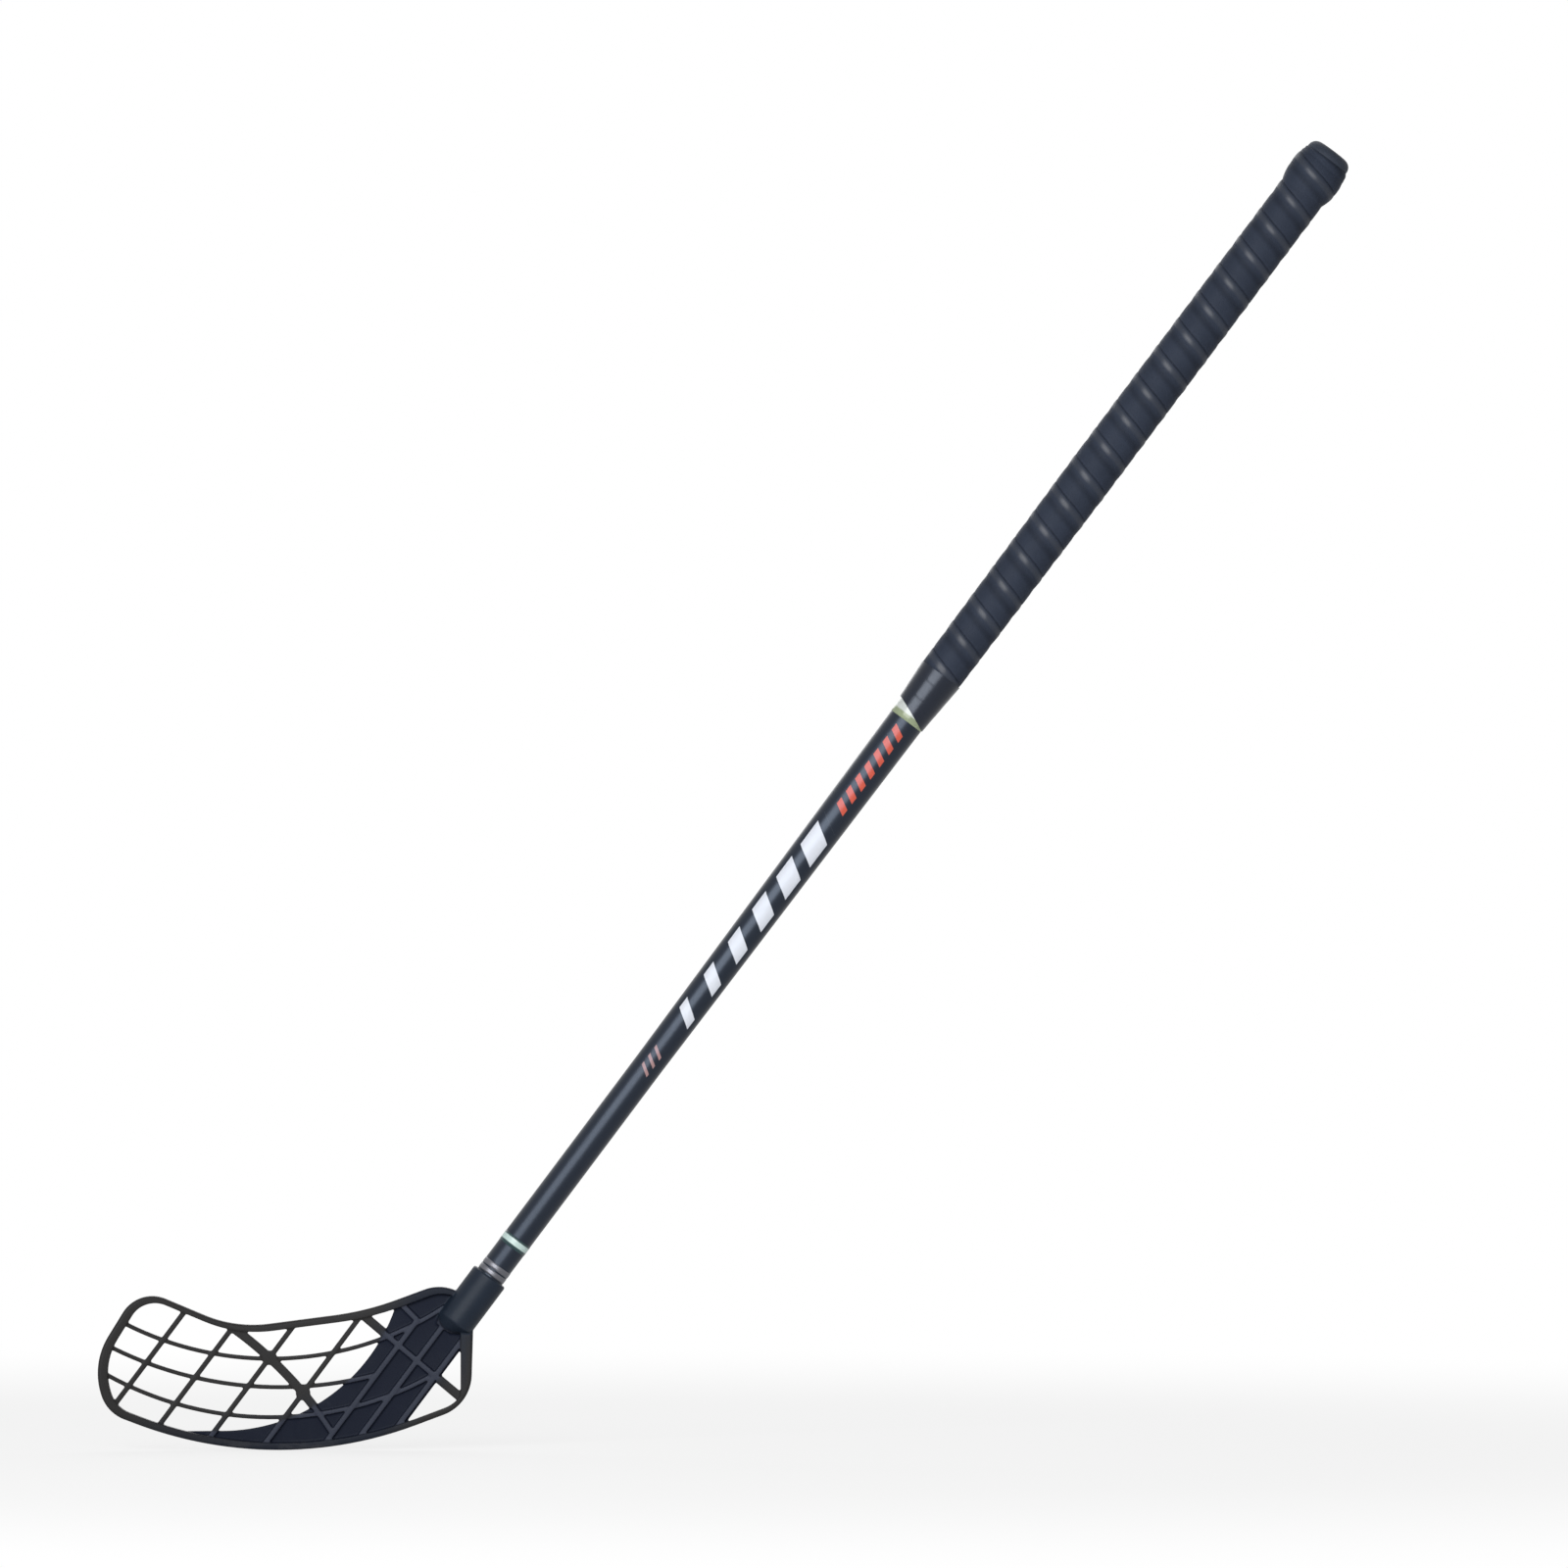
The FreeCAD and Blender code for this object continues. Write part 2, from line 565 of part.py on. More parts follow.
def make_blade():
    web_front = size("web_thickness") - size("web_back")
    lattice = [
        feature("blade_rim", rounded_rim()),
        feature("cross_ribs", moulded(cross_rib_plan(), size("cross_rib_depth") / 2,
                                      size("cross_rib_depth") / 2)),
        feature("long_ribs", moulded(long_rib_plan(), size("long_rib_depth") / 2,
                                     size("long_rib_depth") / 2)),
        feature("heel_web", moulded(web_plan(), web_front, size("web_back"))),
    ]
    outer = "Sizes.shaft_low_dia / 2 + Sizes.socket_fit + Sizes.hosel_wall"
    place = stick_placement()

    tube = doc.addObject("Part::Cylinder", "hosel_tube")
    tube.setExpression("Radius", outer)
    tube.setExpression("Height", "Sizes.socket_depth + Sizes.hosel_floor")
    tube.Placement = place.multiply(Placement(Vector(0, 0, -size("hosel_floor")), Rotation()))
    doc.recompute()
    mouth = doc.addObject("Part::Fillet", "hosel_mouth")
    mouth.Base = tube
    mouth_edge = max(range(len(tube.Shape.Edges)), key=lambda i: tube.Shape.Edges[i].CenterOfMass.z)
    mouth_round = min(size("mouth_round"), 0.6 * size("hosel_wall"))
    mouth.Edges = [(mouth_edge + 1, mouth_round, mouth_round)]

    round_end = doc.addObject("Part::Circle", "hosel_round_end")
    round_end.setExpression("Radius", outer)
    round_end.Placement = tube.Placement
    flat_end = doc.addObject("Part::Ellipse", "hosel_flat_end")
    flat_end.setExpression("MajorRadius", "Sizes.hosel_tail_width / 2")
    flat_end.setExpression("MinorRadius", "Sizes.cross_rib_depth / 2")
    tail_foot = -size("hosel_floor") - size("hosel_tail_length")
    tail_end = Vector(-size("hosel_tail_shift"), 0, tail_foot)
    flat_end.Placement = place.multiply(Placement(tail_end, Rotation()))
    tail = doc.addObject("Part::Loft", "hosel_tail")
    tail.Sections = [round_end, flat_end]
    tail.Solid = True
    tail.Ruled = False

    moulding = doc.addObject("Part::MultiFuse", "blade_moulding")
    moulding.Shapes = lattice + [mouth, tail]
    moulding.Refine = True

    bore = doc.addObject("Part::Cylinder", "socket_bore")
    bore.setExpression("Radius", "Sizes.shaft_low_dia / 2 + Sizes.socket_fit")
    bore.setExpression("Height", "Sizes.socket_depth + Sizes.hosel_wall")
    bore.Placement = place
    bored = doc.addObject("Part::Cut", "bored_blade")
    bored.Base = moulding
    bored.Tool = bore

    seats = doc.addObject("Part::Feature", "screw_seats")
    seats.Shape = both_screws(size("screw_fit"))
    seats.Placement = place
    blade = doc.addObject("Part::Cut", "blade")
    blade.Base = bored
    blade.Tool = seats
    return blade


def make_end_cap():
    top = "Sizes.shaft_length + Sizes.cap_rise"
    lip = "Sizes.shaft_length - Sizes.cap_lip"
    foot = "Sizes.shaft_length - Sizes.plug_length"
    outside = "Sizes.shaft_top_dia / 2 + Sizes.plug_fit"
    head = "Sizes.shaft_top_dia / 2 + Sizes.cap_overhang"
    plug = "Sizes.shaft_top_dia / 2 - Sizes.shaft_wall - Sizes.plug_fit"
    hollow = plug + " - Sizes.plug_wall"
    body = turned_body("end_cap", [
        ("0", top),
        (head, top),
        (head, lip),
        (outside, lip),
        (outside, "Sizes.shaft_length"),
        (plug, "Sizes.shaft_length"),
        (plug, foot),
        (hollow, foot),
        (hollow, "Sizes.shaft_length - Sizes.plug_wall"),
        ("0", "Sizes.shaft_length - Sizes.plug_wall"),
    ])
    turned = body.Tip
    for number, edge in enumerate(turned.Shape.Edges, start=1):
        wide = edge.BoundBox.XLength > size("shaft_top_dia") + size("cap_overhang")
        high = edge.BoundBox.ZMin > size("shaft_length")
        if wide and high:
            head_edge = "Edge%d" % number
    rounded = body.newObject("PartDesign::Fillet", "cap_head")
    rounded.Base = (turned, [head_edge])
    rounded.setExpression("Radius", "min(Sizes.cap_round; 0.95 * (Sizes.cap_rise + Sizes.cap_lip))")
    doc.recompute()
    return body


def grip_top():
    return size("shaft_length") - size("cap_lip") - size("grip_top_gap")


def grip_foot():
    return grip_top() - size("grip_length")


def knob_surface(height):
    """How far the band lifts the tape from the shaft."""
    half = size("knob_length") / 2
    swell = size("knob_swell")
    radius = (half * half + swell * swell) / (2 * swell)
    away = height - (grip_top() - half)
    if abs(away) >= half:
        return 0.0
    return math.sqrt(radius * radius - away * away) - (radius - swell)


def make_knob_ring():
    shaft = size("shaft_top_dia") / 2 + size("film_fit")
    top = grip_top()
    low = top - size("knob_length")
    upper, lower = Vector(shaft, 0, top), Vector(shaft, 0, low)
    crown = Vector(shaft + size("knob_swell") - size("knob_clear"), 0, (top + low) / 2)
    edges = [Part.Arc(lower, crown, upper).toShape(), Part.LineSegment(upper, lower).toShape()]
    ring = doc.addObject("Part::Feature", "knob_ring")
    ring.Shape = Part.Face(Part.Wire(edges)).revolve(Vector(0, 0, 0), Vector(0, 0, 1), 360)
    return ring


def tape_top_surface(height):
    """Thickness of the wound tape: drawn thin at its lower end."""
    thin, full = size("tape_end_thickness"), size("tape_thickness")
    share = (height - grip_foot()) / size("tape_end_length")
    return thin + (full - thin) * min(1.0, max(0.0, share))


def seam_ridge(height):
    """The raised seam, which fades out above the finishing tape."""
    share = (height - grip_foot() - size("finish_over")) / size("turn_pitch")
    return size("seam_ridge") * min(1.0, max(0.0, share))


# Corners of the tape's section: place across the tape from its lower edge, and the part of the
# tape's thickness and of the seam's ridge that it stands above the shaft.
TAPE_SECTION = [
    (0.0, 0, 0), (0.5, 0, 0), (1.0, 0, 0),
    (1.0, 1, 0.4), (0.86, 1, 1), (0.57, 1, 0), (0.28, 1, 0), (0.0, 0.8, 0),
]
SPANS_PER_TURN = 3
STEPS_PER_SPAN = 4


def tape_point(turn, across, thickness_share, ridge_share):
    """A point of the wound tape, by the number of turns from its lower tip."""
    foot, top = grip_foot(), grip_top()
    width = size("turn_pitch") - size("turn_gap")
    upper = foot + size("tape_tip_width") + turn * size("turn_pitch")
    lower = max(upper - width, foot)
    upper = min(upper, top)
    height = lower + across * (upper - lower)
    radius = shaft_radius(height) + knob_surface(height) + size("tape_fit")
    radius += thickness_share * tape_top_surface(height) + ridge_share * seam_ridge(height)
    angle = -2 * math.pi * turn
    return Vector(radius * math.cos(angle), radius * math.sin(angle), height)


def make_grip_tape():
    """One unbroken strip, wound up the shaft from its lower tip and trimmed level at both ends."""
    pitch = size("turn_pitch")
    run_in = (pitch - size("turn_gap") - size("tape_tip_width")) / pitch
    full_end = (size("grip_length") - size("tape_tip_width")) / pitch
    breaks = [0.0]
    for stop in (run_in, full_end, full_end + run_in):
        start = breaks[-1]
        spans = math.ceil((stop - start) * SPANS_PER_TURN)
        breaks += [start + (stop - start) * (k + 1) / spans for k in range(spans)]
    faces = []
    for start, stop in zip(breaks, breaks[1:]):
        curves = []
        for corner in TAPE_SECTION:
            steps = [start + (stop - start) * k / STEPS_PER_SPAN for k in range(STEPS_PER_SPAN + 1)]
            curve = Part.BSplineCurve()
            curve.interpolate([tape_point(turn, *corner) for turn in steps])
            curves.append(curve.toShape())
        for edge, next_edge in zip(curves, curves[1:] + curves[:1]):
            faces.append(Part.makeRuledSurface(edge, next_edge))
    for turn in (breaks[0], breaks[-1]):
        ring = [tape_point(turn, *corner) for corner in TAPE_SECTION]
        faces.append(Part.Face(Part.makePolygon(ring + ring[:1])))
    shell = Part.Shell(faces)
    shell.sewShape()
    solid = Part.Solid(shell)
    if solid.Volume < 0:
        solid.reverse()
    tape = doc.addObject("Part::Feature", "grip_tape")
    tape.Shape = solid
    turns = [breaks[-1] * k / 400 for k in range(400)]
    gaps = []
    for turn in turns:
        if turn + 1 > breaks[-1]:
            continue
        for low in TAPE_SECTION[:1] + TAPE_SECTION[-1:]:
            for high in TAPE_SECTION[2:4]:
                gaps.append(tape_point(turn, *high).distanceToPoint(tape_point(turn + 1, *low)))
    print("grip tape: %.1f turns, least gap between turns %.2f mm" % (breaks[-1], min(gaps)))
    return tape


GRIP_FOOT = "(Sizes.shaft_length - Sizes.cap_lip - Sizes.grip_top_gap - Sizes.grip_length)"


def make_finishing_tape():
    """Tape wound over the thin end of the grip and down onto the shaft, with a slanted lower edge."""
    foot = GRIP_FOOT
    top = foot + " + Sizes.finish_over"
    bend = foot + " + Sizes.tape_end_length"
    step = foot + " - Sizes.grip_top_gap"
    low = foot + " - Sizes.finish_below"
    on_shaft = " + Sizes.film_fit + Sizes.film_thickness + Sizes.finish_fit"
    on_grip = " + Sizes.tape_fit + Sizes.finish_fit + Sizes.tape_thickness"
    on_end = " + Sizes.tape_fit + Sizes.finish_fit + Sizes.tape_end_thickness"
    outside = " + Sizes.finish_thickness"
    profile = [
        (top, on_grip), (bend, on_grip), (foot, on_end), (step, on_end), (step, on_shaft), (low, on_shaft),
        (low, on_shaft + outside), (top, on_grip + outside),
    ]
    body = turned_body("finishing_tape", [(shaft_radius_formula(at) + rise, at) for at, rise in profile])
    reach = "Sizes.shaft_top_dia"
    shaft_wide = "(2 * (%s))" % shaft_radius_formula(low)
    middle = low + " + Sizes.finish_slant / 2"
    fall = " Sizes.finish_slant * %s / %s" % (reach, shaft_wide)
    slant = closed_sketch(body, "slanted_edge", [
        ("-" + reach, middle + " +" + fall),
        (reach, middle + " -" + fall),
        (reach, low + " - Sizes.finish_over"),
        ("-" + reach, low + " - Sizes.finish_over"),
    ])
    cut_through(body, slant, "slanted_cut", both_sides=True)
    return body


def make_ring(label, low, width, tapered):
    """A thin film round the shaft."""
    top = low + " + " + width
    corners = []
    for rise in (" + Sizes.film_fit", " + Sizes.film_fit + Sizes.film_thickness"):
        edge = []
        for height in (low, top):
            radius = shaft_radius_formula(height) if tapered else "Sizes.shaft_low_dia / 2"
            edge.append((radius + rise, height))
        corners += edge if not corners else reversed(edge)
    return turned_body(label, corners)


sub_parts = [
    make_shaft(),
    make_screws(),
    make_end_cap(),
    make_knob_ring(),
    make_grip_tape(),
    make_finishing_tape(),
    make_ring("upper_ring", GRIP_FOOT + " - Sizes.upper_ring_drop", "Sizes.upper_ring_width", tapered=True),
    make_ring("lower_ring", "Sizes.socket_depth + Sizes.lower_ring_rise", "Sizes.lower_ring_width",
              tapered=False),
    make_ring("collar_ring_lower", "Sizes.socket_depth + Sizes.collar_ring_rise", "Sizes.collar_ring_width",
              tapered=False),
    make_ring("collar_ring_upper", "Sizes.socket_depth + Sizes.collar_ring_rise + Sizes.collar_ring_width"
              " + Sizes.collar_ring_gap", "Sizes.collar_ring_width", tapered=False),
]
for piece in sub_parts:
    piece.Placement = stick_placement()
sub_parts.append(make_blade())
doc.recompute()

for item in doc.Objects:
    if "Invalid" in item.State or "Error" in item.State:
        raise RuntimeError(item.Name + " failed")
os.makedirs("parts", exist_ok=True)
for piece in sub_parts:
    shape = piece.Shape
    if shape.isNull() or not shape.isValid():
        raise RuntimeError(piece.Label + " has no valid shape")
    print("%-18s %2d solid  %9.1f mm3" % (piece.Label, len(shape.Solids), shape.Volume))
    shape.exportStep(os.path.join("parts", piece.Label + ".step"))
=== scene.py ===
"""Looks of a floorball stick, built round its solids: lacquered shaft, ribbed blade, wound grip."""
import json
import math

import bmesh
import bpy
import numpy as np
from mathutils import Matrix, Vector


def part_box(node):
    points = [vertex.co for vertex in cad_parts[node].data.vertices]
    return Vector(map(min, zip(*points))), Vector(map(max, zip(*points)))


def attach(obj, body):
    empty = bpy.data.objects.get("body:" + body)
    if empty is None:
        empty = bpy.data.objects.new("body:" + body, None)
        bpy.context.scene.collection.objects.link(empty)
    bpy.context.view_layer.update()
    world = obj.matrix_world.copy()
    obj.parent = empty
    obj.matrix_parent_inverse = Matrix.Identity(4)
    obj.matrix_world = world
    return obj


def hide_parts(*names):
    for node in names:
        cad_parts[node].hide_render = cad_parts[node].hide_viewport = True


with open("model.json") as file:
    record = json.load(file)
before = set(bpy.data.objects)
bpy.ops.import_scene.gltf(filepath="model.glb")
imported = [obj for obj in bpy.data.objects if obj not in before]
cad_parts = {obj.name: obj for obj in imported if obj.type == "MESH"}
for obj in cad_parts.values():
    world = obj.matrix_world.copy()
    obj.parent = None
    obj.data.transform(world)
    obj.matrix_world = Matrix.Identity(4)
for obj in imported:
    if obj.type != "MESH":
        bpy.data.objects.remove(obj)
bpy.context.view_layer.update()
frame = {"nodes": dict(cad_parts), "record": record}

bl_info = {
    "name": "Floorball Stick",
    "version": (1, 0, 0),
    "blender": (4, 5, 0),
    "location": "View3D > Sidebar > Stick",
    "description": "Dresses the solids of a floorball stick with finely made pieces and materials",
    "category": "Object",
}

# The shaft's own upright frame: zero at its lower end, and the front of the stick towards -Y.
BUTT = next(mount for mount in frame["record"]["mounts"] if mount["name"] == "butt_face")
BUTT_HEIGHT = 0.953
AXIS = Vector(BUTT["axis"]).normalized()
FOOT = Vector(BUTT["pos_m"]) - AXIS * BUTT_HEIGHT
LEAN = math.atan2(AXIS.x, AXIS.z)
STICK = Matrix.Translation(FOOT) @ Matrix.Rotation(LEAN, 4, "Y")
FULL_TURN = 2 * math.pi

# Points and sides of the meshes, and the share of the tape's section that is its outer face
SECTION_POINTS = 56
OUTER_SHARE = 0.8
POINTS_PER_TURN = 60
ROUND_SIDES = 128
BAND_SIDES = 96
FINISH_ROWS = 40
FINISH_SIDES = 144
RING_POINTS = 9
SCREW_SIDES = 48

# Slanted rows on the shaft's front: lower end, upper end, pitch and half width
BAR_ROW = (0.2455, 0.4045, 0.0265, 0.0076)
TICK_ROW = (0.4155, 0.4855, 0.0100, 0.0040)
FINE_ROW = (0.2028, 0.2232, 0.0068, 0.0044)
PRINT_RADIUS = 0.0112
PRINT_SLANT = 0.55
FIBRE_WAVES = 2600.0

# Shares of the tape's width, from its lower edge
HOLLOW_AT, HOLLOW_REACH = 0.55, 0.18
RIDGE_AT, RIDGE_REACH = 0.86, 0.14
SHEEN_AT = 0.85

# Inputs of the wound tape's tree that carry the names of properties
TAPE_INPUTS = ["Foot", "Top", "Pitch", "Seam", "Tip", "Fit", "Thickness", "End Thickness", "End Length",
               "Finish Over", "Knob Length", "Knob Swell", "Ridge", "Hollow"]
TUBE_INPUTS = ["Low Radius", "Top Radius", "Taper Start", "Taper End"]

# Where the moulding changes, and how wide a change is
RIM_DEPTH = 0.0035
SOCKET_DEPTH = 0.0046
SOCKET_TAIL = 0.008
SOCKET_RADIUS = 0.0134
SHORT_CHANGE = 0.0004
CHANGE = 0.0008
RIM_CHANGE = 0.024
SOLE_SCUFF = (0.001, 0.009)

# Shares of a screw: recess in its head, slot and depth in the recess, point in its shank
RECESS_SHARE = 1.15
RECESS_SLOT = 0.22
RECESS_DEPTH = 0.6
POINT_SHARE = 0.6

# Dull and bright tones of the metals
SILVER_TONES = (0.11, 0.112, 0.127), (0.17, 0.173, 0.193)
STEEL_TONES = (0.34, 0.34, 0.35), (0.52, 0.52, 0.53)

EDGE_ROUND = 0.0003
SENSOR_MM = 36.0
FLOOR_DROP = 0.0001


# Sizes and colours that a user would change

def kind_of(prop, **settings):
    """A short way to write a kind of property: its name, its default and its description."""
    return lambda name, default, description: prop(name=name, default=default, description=description,
                                                   **settings)


length = kind_of(bpy.props.FloatProperty, unit="LENGTH", precision=5)
spot = kind_of(bpy.props.FloatVectorProperty, size=3, subtype="TRANSLATION", unit="LENGTH")
colour = kind_of(bpy.props.FloatVectorProperty, size=3, subtype="COLOR", min=0, max=1)
number = kind_of(bpy.props.FloatProperty, min=0)
whole = kind_of(bpy.props.IntProperty, min=0)


class StickShaft(bpy.types.PropertyGroup):
    """The tube, measured from its end in the blade's socket."""
    tube_length: length("Tube length", 0.948, "Length of the tube")
    low_radius: length("Lower radius", 0.0097, "Radius at the blade")
    top_radius: length("Upper radius", 0.0135, "Radius under the grip")
    taper_start: length("Taper start", 0.210, "Height where the tube begins to widen")
    taper_end: length("Taper end", 0.688, "Height where the tube is at its full width")
    wall: length("Wall", 0.0013, "Wall of the tube")
    lacquer: colour("Lacquer", (0.0050, 0.0072, 0.0130), "Dark lacquer of the tube")
    bars: colour("Bars", (0.70, 0.73, 0.80), "Pale slanted bars")
    ticks: colour("Ticks", (0.56, 0.085, 0.045), "Small warm ticks")
    fine: colour("Fine ticks", (0.43, 0.25, 0.245), "Three fine ticks below the bars")


class StickBlade(bpy.types.PropertyGroup):
    """The moulded blade and its screws."""
    voxel: length("Grain", 0.0005, "Size of the cells that round the moulding's edges")
    rounds: whole("Rounding", 5, "Passes that soften the edges")
    triangles: whole("Triangles", 185000, "Triangles left in the moulding")
    hook_start: length("Hook start", 0.038, "Place along the blade where it starts to curve")
    hook_radius: length("Hook radius", 0.640, "Curve of the blade towards the ball side")
    panel_x: length("Panel edge X", -0.03698, "Centre of the panel's swept edge, along the blade")
    panel_z: length("Panel edge Z", 0.13157, "Centre of the panel's swept edge, above the sole")
    panel_radius: length("Panel edge radius", 0.119, "Sweep of the panel's open edge")
    panel_heel: length("Panel heel edge", 0.0694, "Heel edge of the panel, along the blade at the sole")
    panel_front: length("Panel front", 0.0006, "Front of the panel before the blade's middle")
    panel_back: length("Panel back", 0.0018, "Back of the panel behind the blade's middle")
    rib: colour("Ribs", (0.0262, 0.0250, 0.0248), "Rim and open ribs")
    rim: colour("Panel rim", (0.0125, 0.0150, 0.0230), "Rim along the closed panel")
    panel: colour("Panel", (0.0058, 0.0078, 0.0170), "Closed heel panel")
    hosel: colour("Hosel", (0.0098, 0.0156, 0.0268), "Socket that holds the shaft")
    # The ribs on the panel are lighter as painted highlight on their tops.
    panel_rib: colour("Panel ribs", (0.0360, 0.0408, 0.0590), "Ribs that stand on the panel")
    # Rubbed edges: partly wear, partly painted highlight along the convex edges.
    rubbed: colour("Rubbed edges", (0.07, 0.07, 0.078), "Edges where the plastic is rubbed")
    scuffed: colour("Scuffed sole", (0.08, 0.08, 0.085), "Sole where the floor has scuffed it")
    screw_height: length("Screw height", 0.024, "Upper screw above the shaft's lower end")
    screw_spacing: length("Screw spacing", 0.013, "Between the two screws")
    screw_head_radius: length("Screw head radius", 0.0033, "Radius of a screw head")
    screw_shank_radius: length("Screw shank radius", 0.00175, "Radius of a screw shank")
    screw_length: length("Screw length", 0.0085, "Whole length of a screw")


class StickButt(bpy.types.PropertyGroup):
    """The cap pressed into the tube, and the band under the tape."""
    rise: length("Rise", 0.005, "Cap above the tube's end")
    overhang: length("Overhang", 0.002, "Cap head beyond the tube")
    lip: length("Lip", 0.00175, "Cap over the outside of the tube")
    head_round: length("Rounding", 0.006, "Rounding of the cap's head")
    plug_length: length("Plug length", 0.030, "Cap inside the tube")
    plug_wall: length("Plug wall", 0.002, "Wall of the hollow plug")
    fit: length("Fit", 0.00005, "Clearance of the plug")
    band_fit: length("Band fit", 0.00006, "Clearance under the band")
    band_clear: length("Band clearance", 0.0005, "Room between the band and the tape")
    rubber: colour("Rubber", (0.0240, 0.0310, 0.0470), "Rubber of the cap and the band")


class StickGrip(bpy.types.PropertyGroup):
    """The wound tape, and the finishing tape at its lower end."""
    foot: length("Lower end", 0.5012, "Height of the lower end")
    top: length("Upper end", 0.9462, "Height of the upper end")
    pitch: length("Pitch", 0.0224, "Advance of one turn")
    seam: length("Seam", 0.00012, "Crease between two turns")
    tip: length("Tip", 0.003, "Width of the tape's cut lower tip")
    top_tip: length("Upper tip", 0.0004, "Width of the tape's cut upper tip")
    fit: length("Fit", 0.0002, "Clearance under the tape")
    thickness: length("Thickness", 0.0022, "Thickness of the tape")
    end_thickness: length("End thickness", 0.0006, "Thickness where the tape is drawn thin")
    end_length: length("End length", 0.023, "Drawn-thin length at the lower end")
    end_gap: length("End gap", 0.0003, "Step of the finishing tape below the grip")
    knob_length: length("Knob length", 0.027, "Length of the swelling at the butt")
    knob_swell: length("Knob swell", 0.0023, "Height of the swelling")
    ridge: length("Ridge", 0.00020, "Raised edge along the seam")
    hollow: length("Hollow", 0.00025, "Depth of the tape's middle")
    finish_over: length("Finish over", 0.025, "Finishing tape over the grip")
    finish_below: length("Finish below", 0.0122, "Finishing tape below the grip")
    finish_slant: length("Finish slant", 0.010, "Slant of its lower edge across the shaft")
    finish_thickness: length("Finish thickness", 0.00035, "Finishing tape at its edges")
    finish_fit: length("Finish fit", 0.0001, "Clearance under the finishing tape")
    finish_lap: length("Finish lap", 0.0125, "Advance of one turn of the finishing tape")
    finish_step: length("Finish step", 0.00007, "Step at each turn of the finishing tape")
    film_room: length("Film room", 0.00028, "Room for the film under the finishing tape")
    cushion: colour("Cushion", (0.0308, 0.0386, 0.0580), "Slate of the tape")
    vinyl: colour("Vinyl", (0.0060, 0.0080, 0.0150), "Finishing tape")


class StickRings(bpy.types.PropertyGroup):
    """The film rings, by their heights on the shaft."""
    upper_low: length("Upper ring, low", 0.4880, "Lower edge of the ring by the grip")
    upper_high: length("Upper ring, high", 0.4990, "Upper edge of the ring by the grip")
    lower_low: length("Lower ring, low", 0.0586, "Lower edge of the ring by the blade")
    lower_high: length("Lower ring, high", 0.0660, "Upper edge of the ring by the blade")
    collar_low: length("First silver ring", 0.0360, "Lower edge of the first silver ring")
    collar_next: length("Second silver ring", 0.0406, "Lower edge of the second silver ring")
    collar_width: length("Silver ring width", 0.0036, "Width of a silver ring")
    thickness: length("Film thickness", 0.00012, "Thickness of a film")
    fit: length("Fit", 0.00006, "Clearance under a film")
    pale: colour("Pale", (0.58, 0.62, 0.60), "Upper ring")
    olive: colour("Olive", (0.26, 0.31, 0.19), "Lower border of the upper ring")
    mint: colour("Mint", (0.53, 0.68, 0.65), "Lower ring")
    teal: colour("Teal", (0.012, 0.040, 0.045), "Borders of the lower ring")


class StickStage(bpy.types.PropertyGroup):
    """Floor, lamps and camera."""
    aim_x: length("Aim X", 0.3295, "Middle of the picture, along the blade")
    aim_z: length("Aim Z", 0.4348, "Middle of the picture, above the floor")
    frame_width: length("Frame width", 1.024, "Width of the picture at the stick")
    camera_distance: length("Camera distance", 9.0, "From the camera to the stick")
    floor_width: length("Floor width", 9.0, "Width of the floor")
    floor_x: length("Floor X", 0.09885, "Middle of the floor and of the shadow on it, along the blade")
    fill: number("Fill", 0.10, "Strength of the light from all round")
    key_power: number("Key power", 81.0, "Power of the lamp at the upper left")
    key_width: length("Key width", 2.6, "Width of that lamp, across the shaft")
    key_depth: length("Key depth", 1.0, "Width of that lamp, along the shaft")
    key_place: spot("Key place", (-0.38, -2.7, 1.02), "Place of that lamp")
    rear_power: number("Rear power", 60.0, "Power of the lamp behind")
    rear_width: length("Rear width", 3.4, "Width of that lamp")
    rear_place: spot("Rear place", (0.4, 2.6, 2.2), "Place of that lamp")


# Arithmetic on node trees

class Field:
    """An output socket that takes part in arithmetic, by adding Math nodes to its tree."""

    def __init__(self, tree, socket=None):
        self.tree = tree
        self.socket = socket

    def add(self, kind, inputs=None, output=0, **settings):
        """Adds any node, with its settings and its inputs by name or number, and gives one output."""
        made = self.tree.nodes.new(kind)
        for name, value in settings.items():
            setattr(made, name, value)
        for key, value in (inputs or {}).items():
            for each in value if isinstance(value, list) else [value]:
                if isinstance(each, Field):
                    self.tree.links.new(each.socket, made.inputs[key])
                else:
                    made.inputs[key].default_value = each
        return Field(self.tree, made.outputs[output] if made.outputs else None)

    def math(self, operation, *values):
        return self.add("ShaderNodeMath", dict(enumerate((self, *values))), operation=operation)

    def __add__(self, other):
        return self.math("ADD", other)

    def __sub__(self, other):
        return self.math("SUBTRACT", other)

    def __rsub__(self, other):
        return self.math("MULTIPLY_ADD", -1.0, other)

    def __mul__(self, other):
        return self.math("MULTIPLY", other)

    def __truediv__(self, other):
        return self.math("DIVIDE", other)

    def __abs__(self):
        return self.math("ABSOLUTE")

    __radd__ = __add__
    __rmul__ = __mul__


def smooth(field, low, high):
    """Runs from 0 at low to 1 at high, with soft ends."""
    return field.add("ShaderNodeMapRange", {"Value": field, "From Min": low, "From Max": high},
                     interpolation_type="SMOOTHSTEP")


def ramp(field, low, high):
    """Runs from 0 at low to 1 at high, straight and held at both ends."""
    return field.add("ShaderNodeMapRange", {"Value": field, "From Min": low, "From Max": high})


def band(field, low, high, soft):
    """1 between low and high, with soft edges outside them."""
    return smooth(field, low - soft, low) * (1.0 - smooth(field, high, high + soft))


def split(field):
    """The three parts of a vector."""
    parts = field.add("ShaderNodeSeparateXYZ", {0: field}).socket.node
    return [Field(field.tree, socket) for socket in parts.outputs]


